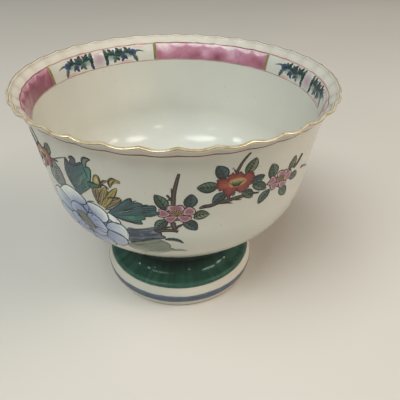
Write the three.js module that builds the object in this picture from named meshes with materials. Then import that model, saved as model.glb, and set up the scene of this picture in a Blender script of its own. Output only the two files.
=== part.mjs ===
// Footed porcelain bowl with a lobed, gilt lip and an enamelled border inside the mouth.
// Millimetres, +Z up. The origin is the centre of the flat face that the foot stands on,
// and the front of the bowl faces -Y.
import * as THREE from "three";

// Bowl
const bowlHeight = 116.6;
const lipRadius = 76; // outer edge of the porcelain lip, at the middle of a lobe
const lipRound = 1; // depth of the rounded edge of the lip
const flareDepth = 13; // the wall turns outwards over this depth below the lip
const flareBend = 3.4; // over 1, which keeps most of the turn close to the lip
const wallRadius = 65.7; // where the steep wall grows out of the round bottom
const wallLean = 0.143; // outward lean of the wall, for each millimetre of height
const undersideHeight = 29.5; // lowest point of the bowl's underside
const bottomRise = 44; // height of the round bottom
const lipThickness = 1.7;
const wallThickness = 3;
const floorThickness = 5.5;

// Lobes of the lip
const lobeCount = 36;
const lobeDrop = 0.78; // a lobe dips this far below the cusps on both its sides
const lobeInset = 0.72; // a cusp stands this far inside the lobes
const lobeReach = 16; // the lobes have died away at this depth below the lip
const lobeFade = 2.8; // over 1, which keeps most of the lobing close to the lip
const lobeSharpness = 1.2; // over 1, which narrows the cusps

// Foot
const beltRadius = 43.3; // widest part of the white belt round the foot
const beltHeight = 9;
const beltBend = 2; // the belt's side is part of a parabola
const bearingInset = 2.7; // the flat face under the foot ends this far inside the belt
const bearingRadius = beltRadius - bearingInset;
const bearingWidth = 2.8;
const grooveInset = 2.1; // the white belt ends and the green glaze starts this far inside the belt
const grooveRadius = beltRadius - grooveInset;
const grooveHeight = 13.8;
const shoulderWidth = 2.6;
const shoulderRise = 2.6;
const stemRadius = 28.5;
const footWall = 4;

// Joint between foot and bowl
const seamThickness = 0.8;
const seamBulge = 0.7; // the slip is squeezed out this far round the stem

// Enamels and gilding, each a thin coat on the porcelain
const coatClearance = 0.1;
const enamelThickness = 0.25;
const giltThickness = 0.2;
const glazeThickness = 0.4;
const outerLineDepth = 4.1; // the line round the outside of the lip, from the top of the bowl
const outerLineWidth = 0.7;
const borderDepth = 3.9; // the border inside the mouth, from the top of the bowl
const borderHeight = 10;
const borderLineWidth = 0.6;
const panelCount = 6; // pink panels and white ones by turns
const firstDivider = 11; // degrees from the front
const dividerWidth = 2.1;
const blueBandHeight = 4.9; // lower edge of the blue band on the foot
const blueBandWidth = 5;

// Fineness of the facets
const stepsPerLobe = 4;
const roundSteps = 60; // around the smooth parts of the bowl and around the foot
const bottomSteps = 8; // from the underside's middle to the steep wall
const flareSteps = 4; // up the hollow flare of the foot

const colours = {
  porcelain: 0xe9e6da,
  gilt: 0xb98a3c,
  redLine: 0xa4505a,
  ironRed: 0x9a3f3a,
  pink: 0xb5788a,
  divider: 0x8a7238,
  green: 0x1c3a30,
  blue: 0x59698c,
  slip: 0xdcd8ca,
};

const glossy = { roughness: 0.18, metalness: 0 };
const materialOf = (colour, finish = glossy) => new THREE.MeshStandardMaterial({ color: colour, ...finish });

const radians = THREE.MathUtils.degToRad;
const evenly = (count, from, to) =>
  Array.from({ length: count + 1 }, (_, i) => from + ((to - from) * i) / count);

// Angles run in degrees from the front, -Y, towards +X.
const dividerMiddles = evenly(panelCount - 1, firstDivider, firstDivider + 360 - 360 / panelCount);
const mouthRadius = lipRadius - lipThickness;
const dividerHalfAngle = THREE.MathUtils.radToDeg(dividerWidth / 2 / mouthRadius);
const roundAngles = evenly(roundSteps, 0, 360).slice(0, -1);
const lipAngles = anglesWithDividers();

// The lip's angles: even steps over each lobe, and the two edges of each divider.
function anglesWithDividers() {
  const steps = evenly(lobeCount * stepsPerLobe, 0, 360).slice(0, -1);
  const edges = dividerMiddles.flatMap((a) => [a - dividerHalfAngle, a + dividerHalfAngle]);
  const all = [...steps, ...edges.map((a) => (a + 360) % 360)].sort((a, b) => a - b);
  return all.filter((a, i) => i === 0 || a - all[i - 1] > 0.05);
}

// 0 at a cusp and 1 in the middle of a lobe.
const lobeAt = (angle) => Math.abs(Math.sin(radians((angle * lobeCount) / 2))) ** lobeSharpness;

// One station of a section: its radius, its height and how much of the lobes it takes.
const station = (radius, height, lobed = 0) => ({ radius, height, lobed });
const lobedAtDepth = (depth) => Math.max(0, 1 - depth / lobeReach) ** lobeFade;

function pointOn({ radius, height, lobed }, angle) {
  const lobe = lobeAt(angle);
  const r = radius - lobed * lobeInset * (1 - lobe);
  const z = height - lobed * lobeDrop * lobe;
  return new THREE.Vector3(r * Math.sin(radians(angle)), -r * Math.cos(radians(angle)), z);
}

// Pushes the stations of a section sideways, square to it: outwards where the section climbs.
function pushed(section, distance) {
  return section.map((s, i) => {
    const before = section[Math.max(0, i - 1)];
    const after = section[Math.min(section.length - 1, i + 1)];
    const along = new THREE.Vector2(after.radius - before.radius, after.height - before.height).normalize();
    return station(s.radius + along.y * distance, s.height - along.x * distance, s.lobed);
  });
}

// The rings of a section, each at the angles that its lobes need.
const ringOf = (s, angles) => {
  if (s.radius === 0) return { angles: [0], points: [new THREE.Vector3(0, 0, s.height)] };
  return { angles, points: angles.map((a) => pointOn(s, a)) };
};
const ringsOf = (section, fine) =>
  section.map((s) => ringOf(s, fine || s.lobed > 0 ? lipAngles : roundAngles));

// Triangles between two whole rings, which may have different counts.
function stitch(a, b) {
  const triangles = [];
  const at = (ring, i) => ring.points[i % ring.points.length];
  const angleAt = (ring, i) => (i < ring.angles.length ? ring.angles[i] : 360 + ring.angles[0]);
  let i = 0;
  let j = 0;
  const endA = a.points.length > 1 ? a.points.length : 0;
  const endB = b.points.length > 1 ? b.points.length : 0;
  while (i < endA || j < endB) {
    const stepA = j >= endB || (i < endA && angleAt(a, i + 1) <= angleAt(b, j + 1));
    triangles.push(at(a, i), stepA ? at(a, i + 1) : at(b, j + 1), at(b, j));
    if (stepA) i += 1;
    else j += 1;
  }
  return triangles;
}

function geometryOf(triangles) {
  let volume = 0;
  for (let i = 0; i < triangles.length; i += 3) {
    volume += triangles[i].dot(triangles[i + 1].clone().cross(triangles[i + 2]));
  }
  const facing = volume > 0 ? triangles : [...triangles].reverse();
  return new THREE.BufferGeometry().setFromPoints(facing);
}

function meshOf(name, triangles, material) {
  const geometry = geometryOf(triangles);
  geometry.computeVertexNormals();
  const mesh = new THREE.Mesh(geometry, material);
  mesh.name = name;
  return mesh;
}

// A body turned from a section that starts and ends on the axis.
function turned(name, section, material) {
  const rings = ringsOf(section);
  const bands = rings.slice(1).map((ring, i) => stitch(rings[i], ring));
  return meshOf(name, bands.flat(), material);
}

// A ring turned from a section that closes on itself.
function turnedRing(name, section, material) {
  const rings = ringsOf(section);
  const bands = rings.map((ring, i) => stitch(ring, rings[(i + 1) % rings.length]));
  return meshOf(name, bands.flat(), material);
}

// A coat all round, over a stretch of a section.
function coat(name, stretch, thickness, material) {
  const under = pushed(stretch, coatClearance);
  const over = pushed(stretch, coatClearance + thickness);
  return turnedRing(name, [...under, ...over.reverse()], material);
}

// A painted line all round, fullest along its middle, between two stations of a section.
function paintedLine(name, edges, material) {
  const under = pushed(edges, coatClearance);
  const [first, second] = pushed(edges, coatClearance + enamelThickness);
  const crest = station(
    (first.radius + second.radius) / 2,
    (first.height + second.height) / 2,
    (first.lobed + second.lobed) / 2,
  );
  return turnedRing(name, [...under, crest], material);
}

// A patch of enamel over a stretch of a section, between two angles.
function patch(name, stretch, from, to, material) {
  const under = pushed(stretch, coatClearance);
  const over = pushed(stretch, coatClearance + enamelThickness);
  const loop = [...under, ...over.reverse()];
  const turns = [...lipAngles, ...lipAngles.map((a) => a + 360)];
  const near = 0.05; // degrees, closer than any two of the lip's angles
  const columns = turns
    .filter((a) => a > from - near && a < to + near)
    .map((a) => loop.map((s) => pointOn(s, a)));
  const sides = columns.slice(1).flatMap((column, i) =>
    column.flatMap((point, k) => {
      const next = (k + 1) % column.length;
      const last = columns[i];
      return [last[k], point, last[next], point, column[next], last[next]];
    }),
  );
  const cap = (c) =>
    stretch.slice(1).flatMap((_, k) => {
      const across = c.length - 1 - k;
      return [c[k], c[k + 1], c[across - 1], c[k], c[across - 1], c[across]];
    });
  const end = columns[columns.length - 1];
  return meshOf(name, [...sides, ...cap(columns[0]), ...cap(end).reverse()], material);
}

// Outer radius of the steep wall and its flare.
const wallFoot = undersideHeight + bottomRise;
const lipHeight = bowlHeight - lipRound;
function outerRadius(height) {
  const lean = wallRadius + wallLean * (height - wallFoot);
  const flare = lipRadius - (wallRadius + wallLean * (lipHeight - wallFoot));
  const climb = Math.max(0, (height - (lipHeight - flareDepth)) / flareDepth);
  return lean + flare * climb ** flareBend;
}
const thicknessAt = (height) =>
  THREE.MathUtils.mapLinear(height, wallFoot, lipHeight, wallThickness, lipThickness);
const innerRadius = (height) => outerRadius(height) - thicknessAt(height);

const outerStation = (height) => station(outerRadius(height), height, lobedAtDepth(bowlHeight - height));
const innerStation = (height) => station(innerRadius(height), height, lobedAtDepth(bowlHeight - height));

// The round bottom, a quarter of an ellipse from the axis to the steep wall.
const onBottom = (radius, middle, rise, turn) =>
  station(radius * Math.sin(turn), middle - rise * Math.cos(turn));
const undersideAt = (radius) => {
  const turn = Math.asin(radius / wallRadius);
  return onBottom(wallRadius, wallFoot, bottomRise, turn);
};

// Heights of the stations that the enamels share with the wall
const outerLine = [bowlHeight - outerLineDepth - outerLineWidth, bowlHeight - outerLineDepth].map(outerStation);
const borderTop = bowlHeight - borderDepth;
const borderFoot = borderTop - borderHeight;
const borderTopLine = [borderTop, borderTop - borderLineWidth].map(innerStation);
const borderFootLine = [borderFoot + borderLineWidth, borderFoot].map(innerStation);
const borderMiddle = innerStation((borderTop + borderFoot) / 2);
const panelBand = [borderTopLine[1], borderMiddle, borderFootLine[0]];

const lipEdge = [
  outerStation(lipHeight),
  station(lipRadius - lipThickness / 2, bowlHeight, 1),
  innerStation(lipHeight),
];
const giltEdge = lipEdge.slice(0, 2); // the gilding stops on the crown of the lip

// The joint's ring on the underside: its inner and outer edge.
const seamEdges = [stemRadius - footWall, stemRadius].map(undersideAt);

function bowlSection() {
  const turns = evenly(bottomSteps, 0, Math.PI / 2).slice(1);
  const underside = turns
    .map((turn) => onBottom(wallRadius, wallFoot, bottomRise, turn))
    .filter((s) => s.radius > stemRadius + seamBulge);
  const lobeFoot = bowlHeight - lobeReach;
  const middle = (wallFoot + lobeFoot) / 2;
  const neck = (lobeFoot + outerLine[0].height) / 2;
  const nearLip = (neck + outerLine[0].height) / 2;
  const outside = [middle, lobeFoot, neck, nearLip].map(outerStation);
  const insideWall = [lobeFoot, middle].map(innerStation);
  const insideRadius = wallRadius - wallThickness;
  const insideRise = bottomRise - floorThickness;
  const inside = turns.map((turn) => onBottom(insideRadius, wallFoot, insideRise, turn)).reverse();
  return [
    station(0, undersideHeight),
    ...seamEdges,
    ...underside,
    ...outside,
    ...outerLine,
    ...lipEdge,
    ...borderTopLine,
    borderMiddle,
    ...borderFootLine,
    ...insideWall,
    ...inside,
    station(0, undersideHeight + floorThickness),
  ];
}

// Outside of the foot, from the face it stands on up to the groove, and on up to the bowl.
const shoulderTop = station(grooveRadius - shoulderWidth, grooveHeight + shoulderRise);
const stemTop = pushed(seamEdges, seamThickness);
const beltAt = (height) => {
  const low = height < beltHeight;
  const reach = beltRadius - (low ? bearingRadius : grooveRadius);
  const span = low ? beltHeight : grooveHeight - beltHeight;
  const away = Math.abs(height - beltHeight) / span;
  return station(beltRadius - reach * away ** beltBend, height);
};
const blueBand = [blueBandHeight, blueBandHeight + blueBandWidth].map(beltAt);
const groove = station(grooveRadius, grooveHeight);

const shoulderBend = 0.7; // share of the shoulder's width and rise at its roundest point
const flareAt = (from, to, turn) =>
  station(
    to.radius + (from.radius - to.radius) * (1 - Math.sin(turn)),
    from.height + (to.height - from.height) * (1 - Math.cos(turn)),
  );
const greenStretch = [
  groove,
  station(grooveRadius - shoulderWidth * (1 - shoulderBend), grooveHeight + shoulderRise * shoulderBend),
  ...evenly(flareSteps, 0, Math.PI / 2).map((turn) => flareAt(shoulderTop, stemTop[1], turn)),
];

function footSection() {
  const belt = [beltAt(0), beltAt(blueBandHeight / 2), ...blueBand];
  const beltTop = beltAt((beltHeight + grooveHeight) / 2 + 1);
  const outside = [...belt, beltTop, ...greenStretch];
  const hollowFoot = station(bearingRadius - bearingWidth, 0);
  const hollowBend = station(grooveRadius - footWall, grooveHeight - footWall / 2);
  const hollowTop = stemTop[0];
  const hollow = evenly(flareSteps, 0, Math.PI / 2).map((turn) => flareAt(hollowBend, hollowTop, turn));
  return [hollowFoot, ...outside, ...hollow.reverse()];
}

// The slip that joins foot and bowl, between their two faces and bulging a little round the stem.
function seamSection() {
  const [innerTop, outerTop] = pushed(seamEdges, coatClearance);
  const [innerLow, outerLow] = pushed(seamEdges, seamThickness - coatClearance);
  const bulge = station(
    outerTop.radius + seamBulge,
    (outerTop.height + outerLow.height) / 2,
  );
  return [innerLow, outerLow, bulge, outerTop, innerTop];
}

const bowl = new THREE.Group();

const porcelain = materialOf(colours.porcelain);
bowl.add(
  turned("bowl_body", bowlSection(), porcelain),
  turnedRing("pedestal_foot", footSection(), materialOf(colours.porcelain)),
  turnedRing("luting_slip", seamSection(), materialOf(colours.slip, { roughness: 0.4, metalness: 0 })),
);

bowl.add(
  coat("rim_gilding", giltEdge, giltThickness, materialOf(colours.gilt, { roughness: 0.3, metalness: 1 })),
  paintedLine("outer_rim_line", outerLine, materialOf(colours.redLine)),
  paintedLine("border_top_line", borderTopLine, materialOf(colours.ironRed)),
  paintedLine("border_foot_line", borderFootLine, materialOf(colours.redLine)),
);

dividerMiddles.forEach((middle, i) => {
  const next = middle + 360 / panelCount;
  const gilt = materialOf(colours.divider, { roughness: 0.35, metalness: 0.6 });
  const from = middle - dividerHalfAngle;
  bowl.add(patch(`panel_divider_${i + 1}`, panelBand, from, middle + dividerHalfAngle, gilt));
  if (i % 2 === 0) {
    const pink = materialOf(colours.pink);
    const name = `pink_panel_${i / 2 + 1}`;
    bowl.add(patch(name, panelBand, middle + dividerHalfAngle, next - dividerHalfAngle, pink));
  }
});

bowl.add(
  coat("green_foot_glaze", greenStretch.slice(0, -1), glazeThickness, materialOf(colours.green)),
  coat("blue_foot_band", blueBand, enamelThickness, materialOf(colours.blue)),
);

export default bowl;
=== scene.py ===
# A footed porcelain bowl with a lobed gilt lip, sprays of flowers painted in enamels on the wall,
# and a border of panels inside the mouth.
import bisect
import cmath
import math
import random

import bpy
from mathutils import Matrix, Quaternion, Vector


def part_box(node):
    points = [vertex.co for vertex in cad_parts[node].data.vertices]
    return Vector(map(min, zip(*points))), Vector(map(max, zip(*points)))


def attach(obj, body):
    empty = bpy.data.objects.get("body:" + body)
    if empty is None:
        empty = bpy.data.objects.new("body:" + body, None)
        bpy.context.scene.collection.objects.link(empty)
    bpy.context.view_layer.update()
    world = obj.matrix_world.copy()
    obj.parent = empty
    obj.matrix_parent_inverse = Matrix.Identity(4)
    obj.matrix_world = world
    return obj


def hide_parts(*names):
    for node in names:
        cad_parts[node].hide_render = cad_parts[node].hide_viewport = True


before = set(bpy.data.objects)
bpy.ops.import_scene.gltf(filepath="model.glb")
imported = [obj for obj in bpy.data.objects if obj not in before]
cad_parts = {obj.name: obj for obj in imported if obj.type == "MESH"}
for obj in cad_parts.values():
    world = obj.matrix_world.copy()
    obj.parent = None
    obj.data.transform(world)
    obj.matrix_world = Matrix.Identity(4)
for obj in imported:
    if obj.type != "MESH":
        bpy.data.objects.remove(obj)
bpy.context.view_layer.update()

MM = 0.001
QUARTER = math.pi / 2

# Sizes of the porcelain in millimetres, with +Z up and the front of the bowl facing -Y
BOWL_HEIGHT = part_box("bowl_body")[1].z / MM
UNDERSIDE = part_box("bowl_body")[0].z / MM
LIP_RADIUS = 76.0
LIP_ROUND = 1.0
LIP_THICKNESS = 1.7
FLARE_DEPTH = 13.0
FLARE_BEND = 3.4
WALL_RADIUS = 65.7
WALL_LEAN = 0.143
WALL_THICKNESS = 3.0
BOTTOM_RISE = 44.0
FLOOR_THICKNESS = 5.5
LOBES = 36
LOBE_DROP = 0.78
LOBE_INSET = 0.72
LOBE_REACH = 16.0
LOBE_FADE = 2.8
LOBE_SHARPNESS = 1.2
WALL_FOOT = UNDERSIDE + BOTTOM_RISE
LIP_HEIGHT = BOWL_HEIGHT - LIP_ROUND
WALL_BLEND = 10.0  # the lean starts this far below the foot of the wall and is full this far above it

# The foot
BEARING_RADIUS = 40.6
BEARING_WIDTH = 2.8
BELT_RADIUS = 43.3
BELT_HEIGHT = 9.0
GROOVE_RADIUS = 41.2
GROOVE_HEIGHT = 13.8
SHOULDER_WIDTH = 2.6
SHOULDER_RISE = 2.6
SHOULDER_BEND = 1.1
STEM_RADIUS = 28.5
FOOT_WALL = 4.0
SEAM = 0.8
SEAM_GAP = 0.1
SEAM_BULGE = 0.63

# The painted bands
BORDER_TOP = BOWL_HEIGHT - 3.9
BORDER_FOOT = BORDER_TOP - 10.0
BORDER_LINE = 0.6
OUTER_LINE = BOWL_HEIGHT - 4.1
OUTER_LINE_WIDTH = 0.7
GILT_SPREAD = 0.3  # the gilding reaches this far beyond the lip's outer edge and top
PANELS = 6
PANEL_TURN = 360 / PANELS
FIRST_DIVIDER = 11.0
DIVIDER_WIDTH = 2.1
BLUE_BAND = 4.9
BLUE_BAND_WIDTH = 5.0

# How finely things are made, and how paint lies on the porcelain
COLUMNS = 12 * LOBES
FOOT_COLUMNS = 240
BAND_COLUMNS = 288
ROUND_STEPS = 60
WALL_STEPS = 44
LIP_STEPS = 10
SUNK = 0.05  # the underside of a film lies this deep in the porcelain
SETTLED = 0.005  # the edges of a coat lie this deep in the porcelain
FILM = 0.08  # thickness of a film of enamel
WASH = 0.03  # thickness of a thin wash
FILM_CELL = 0.8  # width of a cell across a blade
PATCH_CELL = 1.3  # width of a ring of cells in a patch
BRUSH_WAVES = (7, 13, 29, 53)  # waves round the bowl in the edge of a line drawn on a wheel
MEAN_LOBE = 0.6  # about the mean of lobe_at round the bowl
JUST_UNDER = 0.002  # the section's highest point is looked for this far below the very top


def evenly(count, start, end):
    """Values from start to end in equal steps."""
    return [start + (end - start) * i / count for i in range(count + 1)]


def around(count):
    """Angles round a full turn."""
    return evenly(count, 0, 2 * math.pi)[:-1]


def held(value):
    """A value kept between 0 and 1."""
    return max(0.0, min(1.0, value))


def smooth(low, high, value):
    """0 below low and 1 above high, with a soft rise between."""
    t = held((value - low) / (high - low))
    return t * t * (3 - 2 * t)


# Shape of the porcelain

def lobe_at(angle):
    """0 at a cusp of the lip and 1 in the middle of a lobe, for an angle in radians."""
    return abs(math.sin(angle * LOBES / 2)) ** LOBE_SHARPNESS


def lobed_at(height):
    return max(0.0, 1 - (BOWL_HEIGHT - height) / LOBE_REACH) ** LOBE_FADE


def leaning(height):
    """How much height the wall has had to lean over, growing softly about the foot of the wall."""
    above = height - WALL_FOOT
    if abs(above) < WALL_BLEND:
        return (above + WALL_BLEND) ** 2 / (4 * WALL_BLEND)
    return max(0.0, above)


def flared(height):
    flare = LIP_RADIUS - (WALL_RADIUS + WALL_LEAN * (LIP_HEIGHT - WALL_FOOT))
    climb = max(0.0, (height - (LIP_HEIGHT - FLARE_DEPTH)) / FLARE_DEPTH)
    return flare * climb ** FLARE_BEND


def outer_radius(height, straight=WALL_RADIUS):
    return straight + WALL_LEAN * leaning(height) + flared(height)


def inner_radius(height, straight=WALL_RADIUS - WALL_THICKNESS):
    thinning = (WALL_THICKNESS - LIP_THICKNESS) / (LIP_HEIGHT - WALL_FOOT)
    return outer_radius(height, straight) + thinning * leaning(height)


def round_bottom(radius_at, straight, rise, turn):
    height = WALL_FOOT - rise * math.cos(turn)
    return radius_at(height, straight * math.sin(turn)), height


def bowl_profile():
    """The bowl's section from the middle of its underside, over the lip, to the middle of its floor."""
    turns = evenly(ROUND_STEPS, 0, QUARTER)
    points = [round_bottom(outer_radius, WALL_RADIUS, BOTTOM_RISE, t) for t in turns]
    heights = evenly(WALL_STEPS, WALL_FOOT, LIP_HEIGHT)[1:]
    points += [(outer_radius(z), z) for z in heights]
    half = LIP_THICKNESS / 2
    for t in evenly(LIP_STEPS, 0, math.pi)[1:-1]:
        points.append((LIP_RADIUS - half + half * math.cos(t), LIP_HEIGHT + LIP_ROUND * math.sin(t)))
    points += [(inner_radius(z), z) for z in reversed(heights)]
    rise = BOTTOM_RISE - FLOOR_THICKNESS
    inside = WALL_RADIUS - WALL_THICKNESS
    return points + [round_bottom(inner_radius, inside, rise, t) for t in reversed(turns)]


class Section:
    """A line of (radius, height) points, followed by the distance run along it."""

    def __init__(self, points, lobed=lambda height: 0.0):
        self.points = points
        self.lobed = lobed
        self.runs = [0.0]
        for (r0, z0), (r1, z1) in zip(points, points[1:]):
            self.runs.append(self.runs[-1] + math.hypot(r1 - r0, z1 - z0))

    def nearest_run(self, height, after=0.0):
        """The run at which the line first passes a height, looking from a given run onwards."""
        for i in range(len(self.points) - 1):
            z0, z1 = self.points[i][1], self.points[i + 1][1]
            if self.runs[i + 1] > after and (z0 - height) * (z1 - height) <= 0 and z0 != z1:
                return self.runs[i] + (self.runs[i + 1] - self.runs[i]) * (height - z0) / (z1 - z0)
        raise ValueError(f"the section never passes the height {height}")

    def slope_at(self, index):
        r0, z0 = self.points[max(0, index - 1)]
        r1, z1 = self.points[min(len(self.points) - 1, index + 1)]
        length = math.hypot(r1 - r0, z1 - z0)
        return (r1 - r0) / length, (z1 - z0) / length

    def at(self, run):
        """Radius, height and outward normal at a run."""
        i = max(0, min(len(self.runs) - 2, bisect.bisect_right(self.runs, run) - 1))
        share = (run - self.runs[i]) / (self.runs[i + 1] - self.runs[i])
        (r0, z0), (r1, z1) = self.points[i], self.points[i + 1]
        along = [a + (b - a) * share for a, b in zip(self.slope_at(i), self.slope_at(i + 1))]
        length = math.hypot(*along)
        normal = (along[1] / length, -along[0] / length)
        return r0 + (r1 - r0) * share, z0 + (z1 - z0) * share, normal

    def place(self, angle, run, lift=0.0):
        """A point on the surface, or lifted off it: the angle is in radians from the front."""
        radius, height, normal = self.at(run)
        lobed, lobe = self.lobed(height), lobe_at(angle)
        radius += normal[0] * lift - lobed * LOBE_INSET * (1 - lobe)
        height += normal[1] * lift - lobed * LOBE_DROP * lobe
        return Vector((radius * math.sin(angle), -radius * math.cos(angle), height)) * MM


bowl = Section(bowl_profile(), lobed_at)
wall_foot_run = bowl.nearest_run(WALL_FOOT)
lip_run = bowl.nearest_run(BOWL_HEIGHT - JUST_UNDER)


def inside_run(height):
    return bowl.nearest_run(height, after=lip_run)


# Meshes

def mesh_object(name, points, faces, attributes=None):
    mesh = bpy.data.meshes.new(name)
    mesh.from_pydata(points, [], faces)
    mesh.update()
    for key, values in (attributes or {}).items():
        mesh.attributes.new(key, "FLOAT", "POINT").data.foreach_set("value", values)
    mesh.polygons.foreach_set("use_smooth", [True] * len(mesh.polygons))
    piece = bpy.data.objects.new(name, mesh)
    bpy.context.scene.collection.objects.link(piece)
    return piece


def dress(piece, material, slot, *nodes):
    """Gives a piece its material and its body, and hides the imported parts of the nodes that it stands for.
    The slot is not used.
    """
    piece.data.materials.append(material)
    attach(piece, "root")
    if nodes:
        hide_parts(*nodes)


def sweep(ring_at, columns, closed):
    """The points and faces of a surface with one line or loop of points at each column round the bowl."""
    rings = [ring_at(angle) for angle in around(columns)]
    count = len(rings[0])
    faces = []
    for c in range(columns):
        here, there = c * count, (c + 1) % columns * count
        for k in range(count if closed else count - 1):
            after = (k + 1) % count
            faces.append((here + k, here + after, there + after, there + k))
    return [point for ring in rings for point in ring], faces


def turned_loop(name, ring_at, columns=COLUMNS, tone_at=lambda angle: 0.5):
    """A ring of one closed loop.

    Its fade is 1 at both edges of its upper side, and its tone goes by angle.
    """
    points, faces = sweep(ring_at, columns, closed=True)
    count = len(points) // columns
    across = [abs(4 * k / (count - 2) - 1) if k < count / 2 else 1.0 for k in range(count)]
    tones = [tone_at(angle) for angle in around(columns) for _ in range(count)]
    return mesh_object(name, points, faces, {"fade": across * columns, "tone": tones})


def turned_body(name, section):
    """A solid of revolution whose section starts and ends on the axis."""
    inner = section.runs[1:-1]
    points, faces = sweep(lambda angle: [section.place(angle, run) for run in inner], COLUMNS, closed=False)
    first, count = len(points), len(inner)
    points += [section.place(0, section.runs[0]), section.place(0, section.runs[-1])]
    for c in range(COLUMNS):
        here, there = c * count, (c + 1) % COLUMNS * count
        faces.append((first, here, there))
        faces.append((first + 1, there + count - 1, here + count - 1))
    return mesh_object(name, points, faces)


def coat_ring(section, low, high, thickness, steps, waver, seed, soft=1, level=0.0):
    """A closed loop of points round a thin coat between two runs, whose edges waver like a brush line.

    It thickens over its first soft steps, and thins over as many last ones. A line painted on a turning
    wheel is level: where level is above 0, the coat follows the lobes of the lip that much less.
    """
    phases = random.Random(seed)
    waves = [(k, phases.uniform(0, 6.28), phases.uniform(0.4, 1)) for k in BRUSH_WAVES]
    height = section.at((low + high) / 2)[1]

    def ring_at(angle):
        lobes = level * section.lobed(height) * LOBE_DROP * (lobe_at(angle) - MEAN_LOBE)
        shift = lobes + waver * sum(w * math.sin(k * angle + p) for k, p, w in waves) / 2
        other = lobes + waver * sum(w * math.cos(k * angle + 2 * p) for k, p, w in waves) / 2
        runs = evenly(steps, low + shift, high + other)
        lifts = [thickness * min(1, i / soft, (steps - i) / soft) - SETTLED for i in range(steps + 1)]
        top = [section.place(angle, run, lift) for run, lift in zip(runs, lifts)]
        return top + [section.place(angle, run, -SUNK) for run in reversed(runs)]

    return ring_at


# Painting: films and strokes of enamel, drawn flat in millimetres and laid on the porcelain

FLAT_RADIUS = 67.0


def on_outside(point, lift):
    """Flat x runs round the bowl from the front, and flat y up the wall from its foot."""
    return bowl.place(point.real / FLAT_RADIUS, wall_foot_run + point.imag, lift)


def on_inside(point, lift):
    return bowl.place(point.real / FLAT_RADIUS, inside_run(WALL_FOOT) - point.imag, lift)


def between_stops(values, share):
    """The value at a share of the way along some evenly spaced values."""
    spot = share * (len(values) - 1)
    i = min(len(values) - 2, int(spot))
    return values[i] + (values[i + 1] - values[i]) * (spot - i)


def outwards(point, share):
    """The plainest fade of a patch, from 0 in its middle to 1 at its outline."""
    return share


class Paint:
    """All the films of one enamel, gathered into one mesh. Fade and tone drive its material."""

    def __init__(self, name, place=on_outside):
        self.name = name
        self.place = place
        self.points, self.faces = [], []
        self.fade, self.tone = [], []

    def add(self, point, lift, fade, tone):
        self.points.append(self.place(point, lift))
        self.fade.append(fade)
        self.tone.append(tone)
        return len(self.points) - 1

    def grid(self, rows, heights, fades, tone=0.5, level=0.0):
        """A closed film over rows of flat points. Heights go across each row, and each row has its fades."""
        last, side = len(rows) - 1, len(rows[0]) - 1
        lifts = [level] + [level + height for height in heights[1:-1]] + [level]
        top, under = [], []
        for i, row in enumerate(rows):
            across = [level] * len(row) if i in (0, last) else lifts
            top.append([self.add(*spot, tone) for spot in zip(row, across, fades[i])])
        for row, line in zip(rows, fades):
            under.append([self.add(p, -SUNK, fade, tone) for p, fade in zip(row, line)])
        for i in range(last):
            for j in range(side):
                self.faces.append((top[i][j], top[i][j + 1], top[i + 1][j + 1], top[i + 1][j]))
                self.faces.append((under[i][j], under[i + 1][j], under[i + 1][j + 1], under[i][j + 1]))
        rim = [(0, j) for j in range(side)] + [(i, side) for i in range(last)]
        rim += [(last, j) for j in range(side, 0, -1)] + [(i, 0) for i in range(last, 0, -1)]
        for (i, j), (k, m) in zip(rim, rim[1:] + rim[:1]):
            self.faces.append((top[k][m], top[i][j], under[i][j], under[k][m]))

    def between(self, left, right, level, tone, fades):
        """A film between two boundary lines with as many points each."""
        widest = max(abs(b - a) for a, b in zip(left, right))
        shares = evenly(max(6, round(widest / FILM_CELL)), 0, 1)
        rows = [[a + (b - a) * s for s in shares] for a, b in zip(left, right)]
        heights = [FILM * (1 - abs(2 * s - 1) ** 6) for s in shares]
        self.grid(rows, heights, [[between_stops(fades, s) for s in shares]] * len(rows), tone, level)

    def patch(self, outline, middle, level=0.0, thickness=FILM, tone=0.5, fade_at=outwards):
        """A film inside a closed outline that can be seen whole from its middle."""
        reach = max(abs(p - middle) for p in outline)
        steps = max(4, round(reach / PATCH_CELL))
        shares = [1, 1 - 0.3 / steps] + [1 - i / steps for i in range(1, steps)]
        rings = []
        for share in shares:
            spots = [middle + (p - middle) * share for p in outline]
            lift = level + thickness * min(1, (1 - share) * steps * 2.5)
            rings.append([self.add(q, lift, held(fade_at(q, share)), tone) for q in spots])
        under = [[self.add(middle + (p - middle) * share, -SUNK, 1, tone) for p in outline]
                 for share in shares[:1] + shares[2:]]
        peak = self.add(middle, level + thickness, held(fade_at(middle, 0)), tone)
        base = self.add(middle, -SUNK, 1, tone)
        for k in range(len(outline)):
            n = (k + 1) % len(outline)
            for a, b in zip(rings, rings[1:]):
                self.faces.append((a[k], a[n], b[n], b[k]))
            for a, b in zip(under, under[1:]):
                self.faces.append((a[n], a[k], b[k], b[n]))
            self.faces.append((rings[-1][k], rings[-1][n], peak))
            self.faces.append((rings[0][n], rings[0][k], under[0][k], under[0][n]))
            self.faces.append((under[-1][n], under[-1][k], base))

    def stroke(self, line, width, level, thickness=0.05, pressure=None):
        """A brush stroke along a flat line. Pressure gives its relative width along the way."""
        pressure = pressure or even
        rows = []
        for i, (p, heading) in enumerate(zip(line, headings(line))):
            swell = 1 + 0.16 * math.sin(2.3 * i + 7 * line[0].real)
            half = 0.5 * width * swell * max(0.12, pressure(i / (len(line) - 1))) * heading * 1j
            rows.append([p + half, p, p - half])
        self.grid(rows, [0, thickness, 0], [[1, 0, 1]] * len(rows), 0.5, level)

    def build(self, material, slot, *nodes):
        piece = mesh_object(self.name, self.points, self.faces, {"fade": self.fade, "tone": self.tone})
        dress(piece, material, slot, *nodes)


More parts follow.
